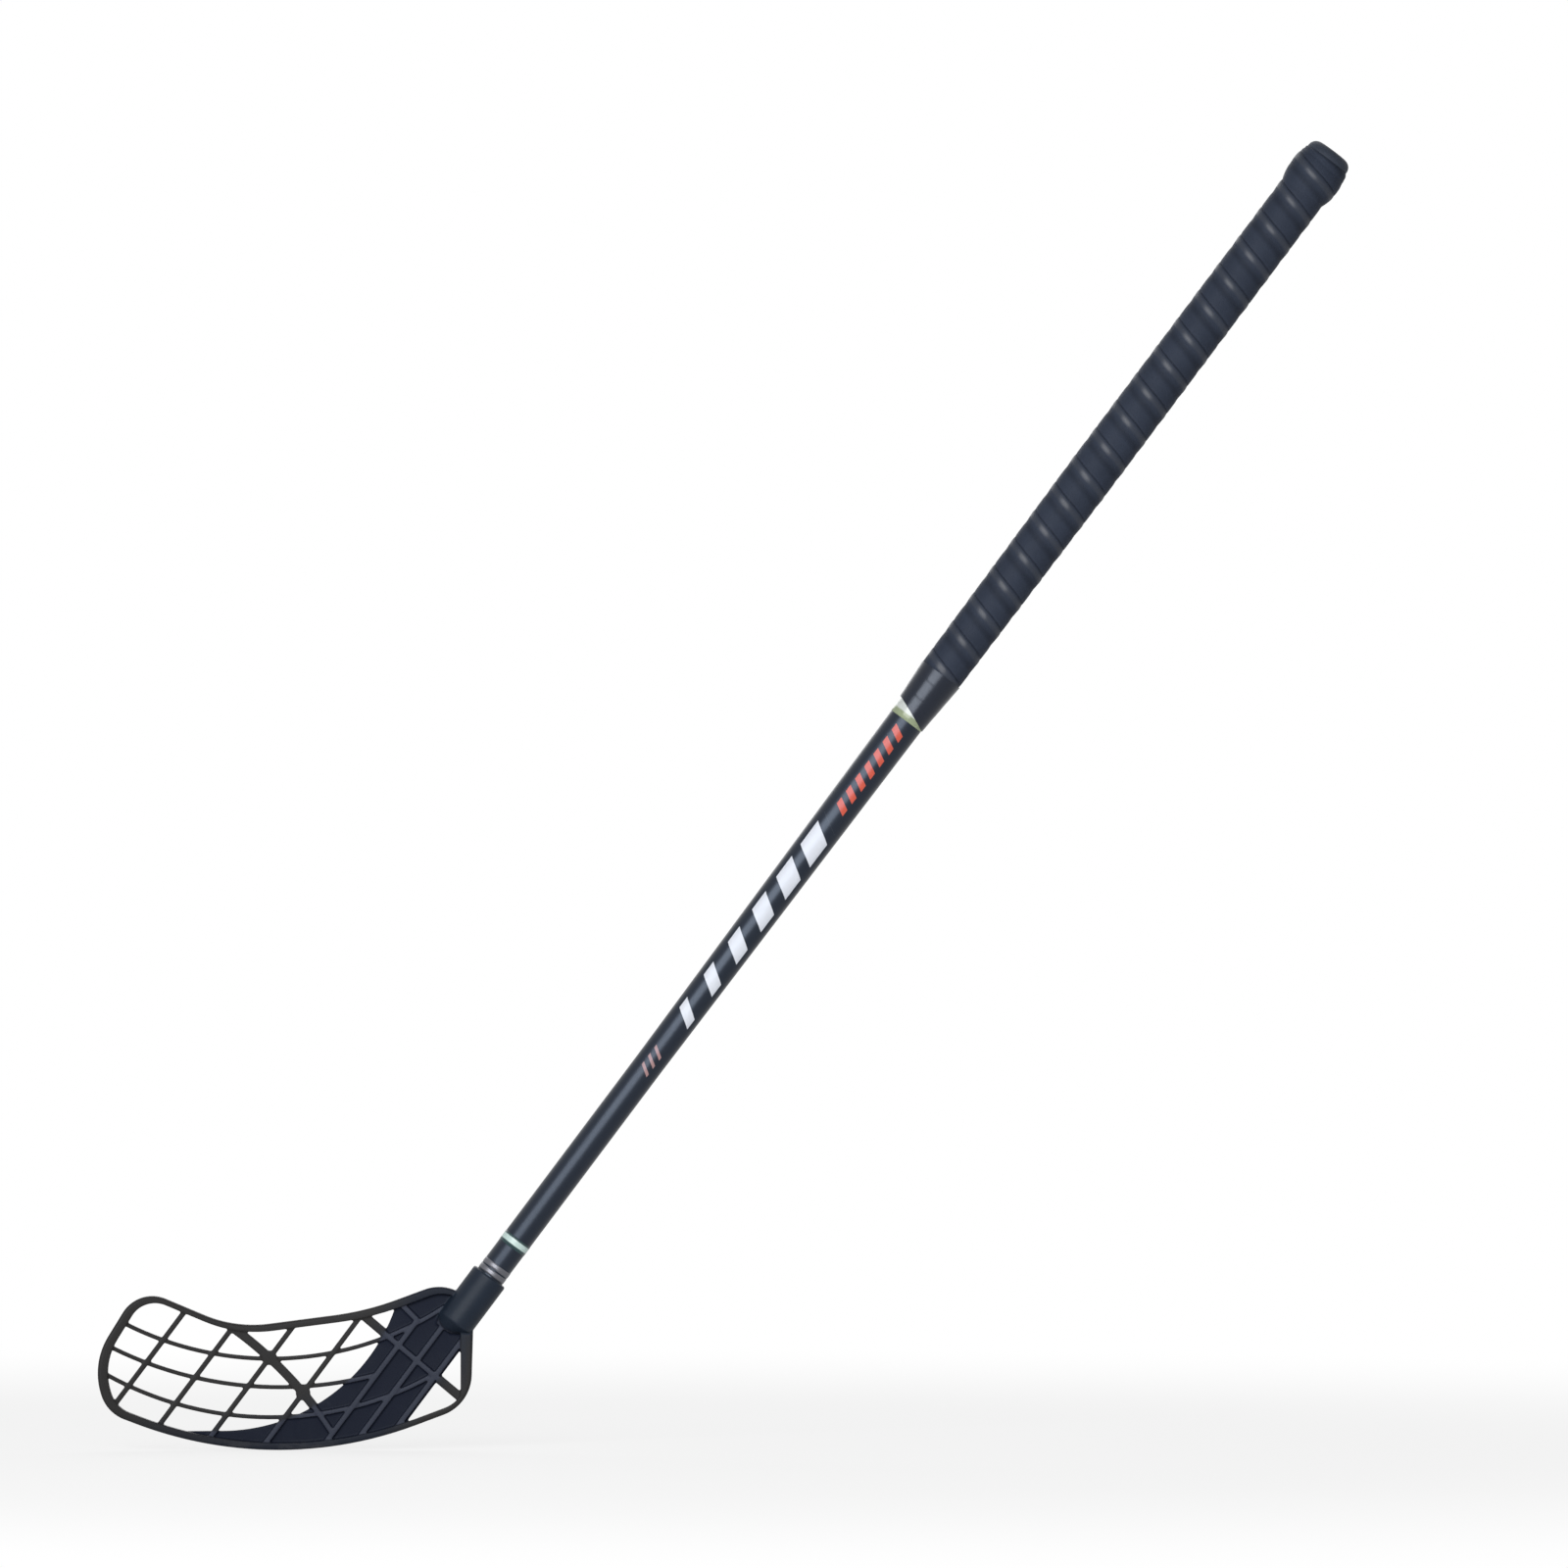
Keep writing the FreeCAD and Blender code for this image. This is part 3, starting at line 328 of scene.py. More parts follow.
def blend(factor, first, second):
    """Mixes two colours by a factor; a colour is a field or three numbers."""
    ends = [value if isinstance(value, Field) else (*value, 1.0) for value in (first, second)]
    return factor.add("ShaderNodeMix", {0: factor, 6: ends[0], 7: ends[1]}, output=2, data_type="RGBA")


def shade(tone, share):
    return tuple(part * share for part in tone)


# Materials

def object_place(shader):
    return Field(shader.id_data).add("ShaderNodeTexCoord", output="Object")


def upright_place(shader):
    """Place in the shaft's own upright frame."""
    place = object_place(shader)
    return place.add("ShaderNodeMapping", {"Vector": place, "Location": FOOT, "Rotation": (0, LEAN, 0)},
                     vector_type="TEXTURE")


def new_surface(name, place=upright_place, **constants):
    """A material, its shader with the values that are the same all over, and the place on the piece."""
    material = bpy.data.materials.new(name)
    material.use_nodes = True
    shader = material.node_tree.nodes["Principled BSDF"]
    for key, value in constants.items():
        shader.inputs[key.replace("_", " ")].default_value = value
    return material, shader, place(shader)


def noise(place, scale, detail=2.0, roughness=0.5, stretch=(1, 1, 1)):
    stretched = place.add("ShaderNodeMapping", {"Vector": place, "Scale": stretch})
    return place.add("ShaderNodeTexNoise", {"Vector": stretched, "Scale": scale, "Detail": detail,
                                            "Roughness": roughness})


def feed(shader, name, field):
    shader.id_data.links.new(field.socket, shader.inputs[name])


def feed_bump(shader, height):
    """Height is in metres."""
    bump = height.add("ShaderNodeBump", {"Height": height, "Strength": 1.0, "Distance": 1.0})
    feed(shader, "Normal", bump)


def lacquer_finish(size):
    """Dark gloss lacquer over fibre, with slanted bars and ticks on the front."""
    material, shader, place = new_surface("shaft_lacquer", Specular_IOR_Level=0.41,
                                          Specular_Tint=(0.68, 0.80, 1.0, 1.0))
    across, depth, along = split(place)
    around = across.math("ARCTAN2", depth * -1.0)
    girth = around * PRINT_RADIUS
    slanted = along + girth * PRINT_SLANT

    def slats(row, filled):
        """A row of slanted slats; a slat fills a part of its pitch."""
        low, high, pitch, half = row
        phase = ((slanted - low) / pitch).math("FRACT")
        soft = 0.0004 / pitch
        slat = smooth(phase, 0.0, soft) * (1.0 - smooth(phase - filled, -soft, 0.0))
        return slat * band(slanted, low, high, soft=0.0002) * band(girth, -half, half, soft=0.0003)

    bars = slats(BAR_ROW, 0.30 + ramp(along, 0.245, 0.405) * 0.45)
    ticks = slats(TICK_ROW, 0.55)
    fine = slats(FINE_ROW, 0.42)

    weft, warp = [(run * FIBRE_WAVES).math("SINE") for run in (along + girth, along - girth)]
    fibre = weft * warp
    cloud = noise(place, 38.0, detail=3.0)
    dark = blend(fibre * 0.5 + 0.5, shade(size.lacquer, 0.85), shade(size.lacquer, 1.25))
    tone = blend(bars, dark, blend(cloud, shade(size.bars, 0.9), size.bars))
    tone = blend(fine * 0.8, tone, size.fine)
    feed(shader, "Base Color", blend(ticks, tone, size.ticks))
    scuff = smooth(noise(place, 900.0, stretch=(1, 1, 0.06)), 0.62, 0.78)
    feed(shader, "Roughness", 0.32 + cloud * 0.05 + scuff * 0.08 + bars * 0.06)
    return material


def cushion_finish(size):
    """Soft slate tape: fine grain and small pores, smoother on its ridge, with painted shade in its seams,
    on its ridge and in its hollow.
    """
    material, shader, place = new_surface("grip_cushion", Specular_IOR_Level=0.04, Coat_Roughness=0.36,
                                          Coat_IOR=2.2)
    across, depth, along = split(place)
    turn = (along - size.foot - size.tip) / size.pitch + depth.math("ARCTAN2", across) / FULL_TURN
    phase = turn.math("FRACT")
    seam = smooth(abs(phase - 0.5), 0.45, 0.495)
    ridge = 1.0 - smooth(abs(phase - SHEEN_AT), 0.03, RIDGE_REACH)
    hollow = 1.0 - smooth(abs(phase - HOLLOW_AT), 0.0, HOLLOW_REACH)
    worn = noise(place, 55.0, detail=4.0, roughness=0.6)
    tone = blend(worn, shade(size.cushion, 0.78), shade(size.cushion, 1.24))
    # Painted shade: the seams, the ridge and the hollow are darkened in the colour, where the tape's relief
    # would be shaded.
    shadow = seam * 0.35 + hollow * 0.45 + ridge * 0.25
    feed(shader, "Base Color", blend(shadow, tone, shade(size.cushion, 0.4)))
    pores = place.add("ShaderNodeTexVoronoi", {"Vector": place, "Scale": 780.0, "Randomness": 0.85})
    pore = 1.0 - smooth(pores, 0.12, 0.36)
    grain = noise(place, 2400.0)
    feed(shader, "Roughness", 0.46 - ridge * 0.10 + worn * 0.08 + pore * 0.10)
    feed(shader, "Coat Weight", ridge * 0.13)
    feed_bump(shader, grain * 0.00004 - pore * 0.00008)
    return material


def vinyl_finish(size):
    """Glossy finishing tape with small wrinkles."""
    material, shader, place = new_surface("vinyl_tape", Specular_IOR_Level=0.38,
                                          Specular_Tint=(0.78, 0.86, 1.0, 1.0))
    cloud = noise(place, 90.0, detail=3.0)
    wrinkle = noise(place, 240.0, detail=3.0, roughness=0.6, stretch=(1, 1, 0.25))
    feed(shader, "Base Color", blend(cloud, shade(size.vinyl, 0.8), shade(size.vinyl, 1.2)))
    feed(shader, "Roughness", 0.24 + cloud * 0.10)
    feed_bump(shader, wrinkle * 0.00008)
    return material


def rubber_finish(name, base, grain_scale):
    """Moulded rubber with a fine grain and rubbed patches."""
    material, shader, place = new_surface(name, Specular_IOR_Level=0.25)
    rubbed = noise(place, 70.0, detail=4.0, roughness=0.6)
    feed(shader, "Base Color", blend(rubbed, shade(base, 0.75), shade(base, 1.35)))
    feed(shader, "Roughness", 0.55 + rubbed * 0.25)
    feed_bump(shader, noise(place, grain_scale) * 0.00006)
    return material


def film_finish(name, low, high, main, border, start, end):
    """A printed film ring: a band of its main colour between two shares of its width, and its border."""
    material, shader, place = new_surface(name, Specular_IOR_Level=0.4)
    along = split(place)[2]
    middle = band(ramp(along, low, high), start, end, soft=0.12)
    print_grain = noise(place, 420.0, detail=3.0)
    feed(shader, "Base Color", blend(middle, border, blend(print_grain, shade(main, 0.93), main)))
    feed(shader, "Roughness", 0.18 + print_grain * 0.12)
    return material


def metal_finish(name, tones, rough, uneven, scale, **grain):
    """Metal that is uneven between two tones, brushed if its grain is stretched."""
    material, shader, place = new_surface(name, Metallic=1.0)
    mottle = noise(place, scale, **grain)
    feed(shader, "Base Color", blend(mottle, *tones))
    feed(shader, "Roughness", rough + mottle * uneven)
    return material


def moulding_finish(size):
    """Moulded plastic: closed heel panel with lighter ribs, their tops lightened as painted highlight, a rim
    that turns darker beside it, rubbed edges that are partly wear and partly painted highlight, and a
    scuffed sole."""
    material, shader, place = new_surface("blade_plastic", object_place, Specular_IOR_Level=0.07,
                                          Specular_Tint=(0.84, 0.92, 1.0, 1.0), Coat_Roughness=0.45)
    panel, near, proud, hosel, edge = [place.add("ShaderNodeAttribute", output="Fac", attribute_name=name)
                                       for name in ("panel", "near", "proud", "hosel", "edge")]
    above = split(place)[2]
    cloud = noise(place, 26.0, detail=4.0, roughness=0.6)
    tones = (size.rib, size.rim, size.panel, size.panel_rib, size.hosel)
    open_rib, rim, closed, raised, socket = [blend(cloud, shade(tone, 0.85), shade(tone, 1.2))
                                             for tone in tones]
    # Ribs that stand on the panel take a lighter tone: painted highlight on their tops.
    tone = blend(panel, blend(near, open_rib, rim), blend(proud, closed, raised))
    tone = blend(hosel, tone, socket)
    # Lighter patches on convex edges: partly rubbed wear, partly painted highlight.
    rubbed = edge * smooth(noise(place, 160.0, detail=3.0), 0.40, 0.66)
    tone = blend(rubbed * 0.25, tone, size.rubbed)
    drag = noise(place, 210.0, detail=3.0, roughness=0.7, stretch=(0.25, 1, 1))
    sole = (1.0 - smooth(above, *SOLE_SCUFF)) * smooth(drag, 0.45, 0.7)
    feed(shader, "Base Color", blend(sole * 0.35, tone, size.scuffed))
    feed(shader, "Roughness", 0.36 + cloud * 0.14 + sole * 0.2)
    feed(shader, "Coat Weight", hosel * 0.2)
    feed_bump(shader, noise(place, 1700.0) * 0.00004)
    return material


# Meshes

def put(name, data):
    """A new object in the scene, at the origin."""
    made = bpy.data.objects.new(name, data)
    bpy.context.scene.collection.objects.link(made)
    return made


def mesh_from(work, name):
    """The plain mesh of a finished bmesh."""
    mesh = bpy.data.meshes.new(name)
    work.to_mesh(mesh)
    work.free()
    return mesh


def add_piece(name, mesh, material, slot, *nodes):
    """A finished piece, which rides on the stick and stands for its solids."""
    piece = put(name, mesh)
    mesh.materials.clear()
    mesh.materials.append(material)
    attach(piece, "root")
    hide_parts(*nodes)


def shaft_radius(size, height):
    share = (height - size.taper_start) / (size.taper_end - size.taper_start)
    return size.low_radius + (size.top_radius - size.low_radius) * min(1.0, max(0.0, share))


def turned_mesh(name, profile, segments, sharp=35.0):
    """A closed form round the shaft's axis; profile gives its outline of radius and height at an angle."""
    work = bmesh.new()
    columns = []
    poles = {}
    for k in range(segments):
        angle = FULL_TURN * k / segments
        column = []
        for radius, height in profile(angle):
            if radius < 1e-7:
                if height not in poles:
                    poles[height] = work.verts.new((0, 0, height))
                column.append(poles[height])
            else:
                column.append(work.verts.new((radius * math.cos(angle), radius * math.sin(angle), height)))
        columns.append(column)
    for column, following in zip(columns, columns[1:] + columns[:1]):
        rows = len(column)
        for i in range(rows):
            j = (i + 1) % rows
            corners = list(dict.fromkeys((column[i], following[i], following[j], column[j])))
            if len(corners) > 2:
                work.faces.new(corners)
    bmesh.ops.recalc_face_normals(work, faces=work.faces)
    mesh = mesh_from(work, name)
    mesh.transform(STICK)
    mesh.shade_smooth()
    mesh.set_sharp_from_angle(angle=math.radians(sharp))
    return mesh


def arc_points(centre, radius, start, end, count):
    """Points of an arc in a profile, by angles in degrees."""
    angles = [math.radians(start + (end - start) * k / count) for k in range(count + 1)]
    return [(centre[0] + radius * math.cos(angle), centre[1] + radius * math.sin(angle)) for angle in angles]


def evaluated_mesh(holder, name):
    """The plain mesh of an object with its modifiers; the object is then removed."""
    bpy.context.view_layer.update()
    graph = bpy.context.evaluated_depsgraph_get()
    mesh = bpy.data.meshes.new_from_object(holder.evaluated_get(graph), depsgraph=graph)
    holder.modifiers.clear()
    seed = holder.data
    bpy.data.objects.remove(holder)
    bpy.data.meshes.remove(seed)
    if not mesh.polygons:
        raise RuntimeError(name + " came out empty")
    mesh.name = name
    return mesh


def rounded_copy(node, name, size):
    """A copy of a solid's mesh, joined up, with its edges rounded as a mould leaves them."""
    work = bmesh.new()
    work.from_mesh(frame["nodes"][node].data)
    bmesh.ops.remove_doubles(work, verts=work.verts, dist=1e-6)
    holder = put(name + "_holder", mesh_from(work, name + "_merged"))
    remesh = holder.modifiers.new("remesh", "REMESH")
    remesh.mode = "VOXEL"
    remesh.voxel_size = size.voxel * 1
    soften = holder.modifiers.new("soften", "SMOOTH")
    soften.iterations = size.rounds
    fine = evaluated_mesh(holder, name + "_fine")
    fine.calc_loop_triangles()
    holder = put(name + "_holder", fine)
    thin = holder.modifiers.new("thin", "DECIMATE")
    thin.ratio = min(1.0, size.triangles / len(fine.loop_triangles))
    mesh = evaluated_mesh(holder, name)
    mesh.shade_smooth()
    return mesh


def rows_of(items, key, width, kind=float):
    """An array with one row for each item of a mesh."""
    values = np.empty(len(items) * width, kind)
    items.foreach_get(key, values)
    return values.reshape(-1, width)


def climb(values, start, reach):
    """Runs from 0 at start to 1 a reach further on, straight and held at both ends."""
    return np.clip((values - start) / reach, 0, 1)


def mark_moulding(mesh, size):
    """Writes where the moulding is panel, near the panel or hosel, where it stands proud, and its edges."""
    place = rows_of(mesh.vertices, "co", 3)
    normal = rows_of(mesh.vertices, "normal", 3)
    ends = rows_of(mesh.edges, "vertices", 2, int)
    first, second = ends.T
    total = np.zeros_like(place)
    np.add.at(total, first, place[second] - place[first])
    np.add.at(total, second, place[first] - place[second])
    links = np.bincount(ends.ravel(), minlength=len(place))
    span = np.linalg.norm(place[second] - place[first], axis=1).mean()
    convex = -np.einsum("ij,ij->i", total / links[:, None], normal) / span

    x, y, z = place.T
    hooked = np.hypot(x - size.hook_start, y + size.hook_radius) - size.hook_radius
    depth = np.where(x < size.hook_start, hooked, y)
    rise = np.maximum(-depth - size.panel_front, depth - size.panel_back)
    from_sweep = np.hypot(x - size.panel_x, z - size.panel_z) - size.panel_radius
    to_heel = size.panel_heel + z * math.tan(LEAN) - x
    under_sweep = np.where(x < size.panel_x, size.panel_z - size.panel_radius - z, 1.0)
    inside = np.minimum(np.minimum(from_sweep, to_heel), under_sweep)
    rim = climb(np.abs(depth), RIM_DEPTH, SHORT_CHANGE)
    wall = 1 - climb(np.abs(normal[:, 1]), 0.4, 0.2)
    along = (place - FOOT) @ AXIS
    from_axis = np.linalg.norm(place - FOOT - along[:, None] * np.array(AXIS), axis=1)
    socket = np.maximum(climb(along, -SOCKET_TAIL, 0.003), climb(np.abs(depth), SOCKET_DEPTH, SHORT_CHANGE))
    marks = {
        "panel": climb(inside, -CHANGE / 2, CHANGE) * (1 - np.maximum(rim, wall)),
        "near": climb(inside, -RIM_CHANGE / 2, RIM_CHANGE),
        "hosel": climb(-from_axis, -SOCKET_RADIUS, CHANGE) * socket,
        "proud": climb(rise, 0.0004, 0.0010),
        "edge": climb(convex, 0.10, 0.20),
    }
    for name, values in marks.items():
        mesh.attributes.new(name, "FLOAT", "POINT").data.foreach_set("value", values.astype(np.float32))


# Node trees that make meshes

def new_tree(name, labels):
    """A tree that makes a mesh, with named inputs; gives the tree and its input fields."""
    tree = bpy.data.node_groups.new(name, "GeometryNodeTree")
    tree.interface.new_socket("Mesh", in_out="OUTPUT", socket_type="NodeSocketGeometry")
    for label in labels:
        kind = "NodeSocketInt" if label == "Rows" else "NodeSocketFloat"
        tree.interface.new_socket(label, in_out="INPUT", socket_type=kind)
    source = tree.nodes.new("NodeGroupInput")
    return tree, {socket.name: Field(tree, socket) for socket in source.outputs if socket.name}


def close_tree(geometry, material):
    """Ends a tree: real geometry, then its material."""
    real = geometry.add("GeometryNodeRealizeInstances", {0: geometry})
    dressed = real.add("GeometryNodeSetMaterial", {"Geometry": real, "Material": material})
    dressed.add("NodeGroupOutput", {0: dressed})


def grown_mesh(name, tree, values):
    """The plain mesh that a tree gives with these input values, leaned over with the shaft."""
    holder = put(name + "_holder", bpy.data.meshes.new(name + "_seed"))
    grower = holder.modifiers.new(name, "NODES")
    grower.node_group = tree
    for item in tree.interface.items_tree:
        if item.in_out == "INPUT":
            grower[item.identifier] = values[item.name]
    mesh = evaluated_mesh(holder, name)
    mesh.transform(STICK)
    return mesh


def sheet_of(tree, across_count, along_count):
    """A flat sheet to be wrapped: its geometry, and fields from 0 to 1 across and along it."""
    start = Field(tree)
    sheet = start.add("GeometryNodeMeshGrid", {"Size X": 1.0, "Size Y": 1.0, "Vertices X": across_count,
                                               "Vertices Y": along_count})
    x, y = split(start.add("GeometryNodeInputPosition"))[:2]
    return sheet, x + 0.5, y + 0.5


def wrap(sheet, radius, angle, height):
    """Moves a sheet's vertices to places round the axis, and joins the edges that meet."""
    place = radius.add("ShaderNodeCombineXYZ", {0: radius * angle.math("COSINE"),
                                                1: radius * angle.math("SINE"), 2: height})
    moved = sheet.add("GeometryNodeSetPosition", {"Geometry": sheet, "Position": place})
    joined = moved.add("GeometryNodeMergeByDistance", {"Geometry": moved, "Distance": 1e-6})
    return joined.add("GeometryNodeSetShadeSmooth", {"Geometry": joined})


def wound_tree(material):
    """One strip wound up the shaft, with a ridge by its seam and a shallow hollow along its middle."""
    tree, size = new_tree("wound_grip", ["Rows", "Turns", *TAPE_INPUTS, *TUBE_INPUTS])
    sheet, section, along = sheet_of(tree, SECTION_POINTS, size["Rows"])

    # The first and the last row close to one point each.
    steps = size["Rows"] - 1.0
    body = ramp(along * steps, 0.0, 1.0) * ramp((1.0 - along) * steps, 0.0, 1.0)
    turn = along * size["Turns"]
    upper = size["Foot"] + size["Tip"] + turn * size["Pitch"]
    lower = (upper - size["Pitch"] + size["Seam"]).math("MAXIMUM", size["Foot"])
    upper = upper.math("MINIMUM", size["Top"])

    # Four fifths of the section are the outer face, with points gathered at its edges; the rest is inside.
    outer = 0.5 - (ramp(section, 0.0, OUTER_SHARE) * math.pi).math("COSINE") * 0.5
    across = outer - ramp(section, OUTER_SHARE, 1.0)
    inset = across.math("MINIMUM", 1.0 - across) * (upper - lower)
    shoulder = (1.0 - ramp(inset, 0.0, 0.0022)).math("POWER", 2.0)
    crown = ramp(inset, 0.0, 0.00002) * (1.0 - shoulder * 0.10)
    crown = crown * (1.0 - ramp(section, OUTER_SHARE, OUTER_SHARE + 0.015)) * body + (1.0 - body) * 0.5
    across = across * body + (1.0 - body) * 0.5
    height = lower + across * (upper - lower)

    ridge = 1.0 - smooth(abs(across - RIDGE_AT), 0.0, RIDGE_REACH)
    hollow = 1.0 - smooth(abs(across - HOLLOW_AT), 0.0, HOLLOW_REACH)
    above = height - size["Foot"]
    relief = size["Ridge"] * ridge - size["Hollow"] * hollow
    relief = relief * ramp(above - size["Finish Over"], 0.0, size["Pitch"])
    drawn = ramp(above, 0.0, size["End Length"])
    tape = size["End Thickness"] + drawn * (size["Thickness"] - size["End Thickness"])

    shaft = ramp(height, size["Taper Start"], size["Taper End"])
    core = size["Low Radius"] + shaft * (size["Top Radius"] - size["Low Radius"]) + size["Fit"]
    half = size["Knob Length"] * 0.5
    swell = size["Knob Swell"]
    bow = (half * half + swell * swell) / (swell * 2.0)
    away = abs(height - size["Top"] + half).math("MINIMUM", half)
    lift = (bow * bow - away * away).math("SQRT") - bow + swell
    radius = core + lift + crown * (tape + relief)
    close_tree(wrap(sheet, radius, turn * -FULL_TURN, height), material)
    return tree


def ring_tree(material, name):
    """A thin film closed round the shaft."""
    tree, size = new_tree(name, ["Low", "High", "Low Radius", "High Radius", "Thickness"])
    sheet, section, along = sheet_of(tree, RING_POINTS, ROUND_SIDES + 1)

    # Four points of the section, a little in from the edges, are the outer face; the rest are inside.
    out = 1.0 - ramp(abs(section - 0.3125), 0.19, 0.3)
    up = ramp(section, 0.117, 0.508) - ramp(section, 0.625, 1.0)
    height = size["Low"] + up * (size["High"] - size["Low"])
    radius = size["Low Radius"] + up * (size["High Radius"] - size["Low Radius"]) + out * size["Thickness"]
    close_tree(wrap(sheet, radius, along * FULL_TURN, height), material)
    return tree


def screw_tree(material):
    """Two countersunk screws in a row, each with a cross recess."""
    tree, size = new_tree("hosel_screws", ["Face", "Height", "Spacing", "Head Radius", "Shank Radius",
                                           "Length", "Recess Width"])
    start = Field(tree)
    shank, wide = size["Shank Radius"], size["Recess Width"]
    cone = size["Head Radius"] - shank

    def raised(geometry, height):
        up = start.add("ShaderNodeCombineXYZ", {2: height})
        return start.add("GeometryNodeTransform", {"Geometry": geometry, "Translation": up})

    head = start.add("GeometryNodeMeshCone", {"Vertices": SCREW_SIDES, "Radius Top": size["Head Radius"],
                                              "Radius Bottom": shank, "Depth": cone})
    stem = start.add("GeometryNodeMeshCone", {"Vertices": SCREW_SIDES, "Radius Top": shank,
                                              "Radius Bottom": shank * POINT_SHARE,
                                              "Depth": size["Length"] - cone + 0.00001})
    body = start.add("GeometryNodeMeshBoolean", {"Mesh 2": [head, raised(stem, cone - size["Length"])]},
                     operation="UNION")
    bars = []
    for x, y in ((1.0, RECESS_SLOT), (RECESS_SLOT, 1.0)):
        edges = start.add("ShaderNodeCombineXYZ", {0: wide * x, 1: wide * y, 2: wide * RECESS_DEPTH})
        bars.append(start.add("GeometryNodeMeshCube", {"Size": edges}))
    cross = start.add("GeometryNodeMeshBoolean", {"Mesh 2": bars}, operation="UNION")
    cut = start.add("GeometryNodeMeshBoolean", {"Mesh 1": body, "Mesh 2": raised(cross, cone)},
                    operation="DIFFERENCE")
    lying = start.add("GeometryNodeTransform", {"Geometry": raised(cut, cone * -1.0),
                                                "Rotation": (-math.pi / 2, 0, 0)})
    first = start.add("ShaderNodeCombineXYZ", {1: size["Face"], 2: size["Height"]})
    step = start.add("ShaderNodeCombineXYZ", {2: size["Spacing"] * -1.0})
    row = start.add("GeometryNodeMeshLine", {"Count": 2, "Start Location": first, "Offset": step})
    close_tree(start.add("GeometryNodeInstanceOnPoints", {"Points": row, "Instance": lying}), material)
    return tree


# Operators

class Build:
    """What all operators share."""
    bl_options = {"REGISTER", "UNDO"}


class STICK_OT_shaft(Build, bpy.types.Operator):
    """Turn the tapered tube and lacquer it"""
    bl_idname = "stick.shaft"
    bl_label = "Build Shaft"

    def execute(self, context):
        size = context.scene.stick_shaft
        end = size.tube_length
        heights = (0.0, size.taper_start, size.taper_end, end)
        outer = [(shaft_radius(size, height), height) for height in heights]
        inner = [(radius - size.wall, height) for radius, height in outer[::-1]]
        low, top = outer[0][0], outer[-1][0]
        outer[:1] = [(low - EDGE_ROUND, 0.0), (low, EDGE_ROUND)]
        outer[-1:] = [(top, end - EDGE_ROUND), (top - EDGE_ROUND, end)]
        mesh = turned_mesh("shaft_tube", lambda angle: outer + inner, ROUND_SIDES, sharp=30.0)
        add_piece("shaft_tube", mesh, lacquer_finish(size), "shaft_lacquer", "shaft")
        return {"FINISHED"}


class STICK_OT_blade(Build, bpy.types.Operator):
    """Round the moulding's edges and mark its panel, its ribs and its rubbed edges; the ribs and edges carry
    painted highlight
    """
    bl_idname = "stick.blade"
    bl_label = "Build Blade"

    def execute(self, context):
        size = context.scene.stick_blade
        mesh = rounded_copy("blade", "blade_moulding", size)
        mark_moulding(mesh, size)
        add_piece("blade_moulding", mesh, moulding_finish(size), "blade_plastic", "blade")
        return {"FINISHED"}


class STICK_OT_screws(Build, bpy.types.Operator):
    """Set the two screws into the back of the hosel"""
    bl_idname = "stick.screws"
    bl_label = "Build Screws"

    def execute(self, context):
        size = context.scene.stick_blade
        material = metal_finish("screw_steel", STEEL_TONES, rough=0.26, uneven=0.22, scale=700.0, detail=4.0,
                                roughness=0.6)
        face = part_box("blade_screws")[1].y
        mesh = grown_mesh("hosel_screws", screw_tree(material), {
            "Face": face, "Height": size.screw_height, "Spacing": size.screw_spacing,
            "Head Radius": size.screw_head_radius, "Shank Radius": size.screw_shank_radius,
            "Length": size.screw_length, "Recess Width": size.screw_head_radius * RECESS_SHARE})
        mesh.set_sharp_from_angle(angle=math.radians(30))
        add_piece("hosel_screws", mesh, material, "screw_steel", "blade_screws")
        return {"FINISHED"}


class STICK_OT_butt(Build, bpy.types.Operator):
    """Turn the rubber cap and the band that swells the grip"""
    bl_idname = "stick.butt"
    bl_label = "Build Butt"

    def execute(self, context):
        shaft = context.scene.stick_shaft
        grip = context.scene.stick_grip
        size = context.scene.stick_butt
        end = shaft.tube_length
        top = end + size.rise
        lip = end - size.lip
        head = shaft.top_radius + size.overhang
        plug = shaft.top_radius - shaft.wall - size.fit
        hollow = plug - size.plug_wall
        foot = end - size.plug_length
        outside = shaft.top_radius + size.fit
        face = head - size.head_round
        profile = [(0.0, top), (face - 0.0001, top)]
        profile += arc_points((face, top - size.head_round), size.head_round, 90, 0, 16)
        profile += arc_points((head - EDGE_ROUND, lip + EDGE_ROUND), EDGE_ROUND, 0, -90, 4)
        profile += [(outside, lip), (outside, end), (plug, end), (plug, foot), (hollow, foot),
                    (hollow, end - size.plug_wall), (0.0, end - size.plug_wall)]
        mesh = turned_mesh("butt_cap", lambda angle: profile, ROUND_SIDES)
        rubber = rubber_finish("cap_rubber", size.rubber, grain_scale=1500.0)
        add_piece("butt_cap", mesh, rubber, "cap_rubber", "end_cap")

        half = grip.knob_length / 2
        swell = grip.knob_swell - size.band_clear
        radius = (half * half + swell * swell) / (2 * swell)
        reach = math.degrees(math.asin(half / radius))
        base = shaft.top_radius + size.band_fit
        arc = arc_points((base + swell - radius, grip.top - half), radius, -reach, reach, 16)
        mesh = turned_mesh("knob_band", lambda angle: arc, BAND_SIDES)
        rubber = rubber_finish("band_rubber", size.rubber, grain_scale=1100.0)
        add_piece("knob_band", mesh, rubber, "band_rubber", "knob_ring")
        return {"FINISHED"}


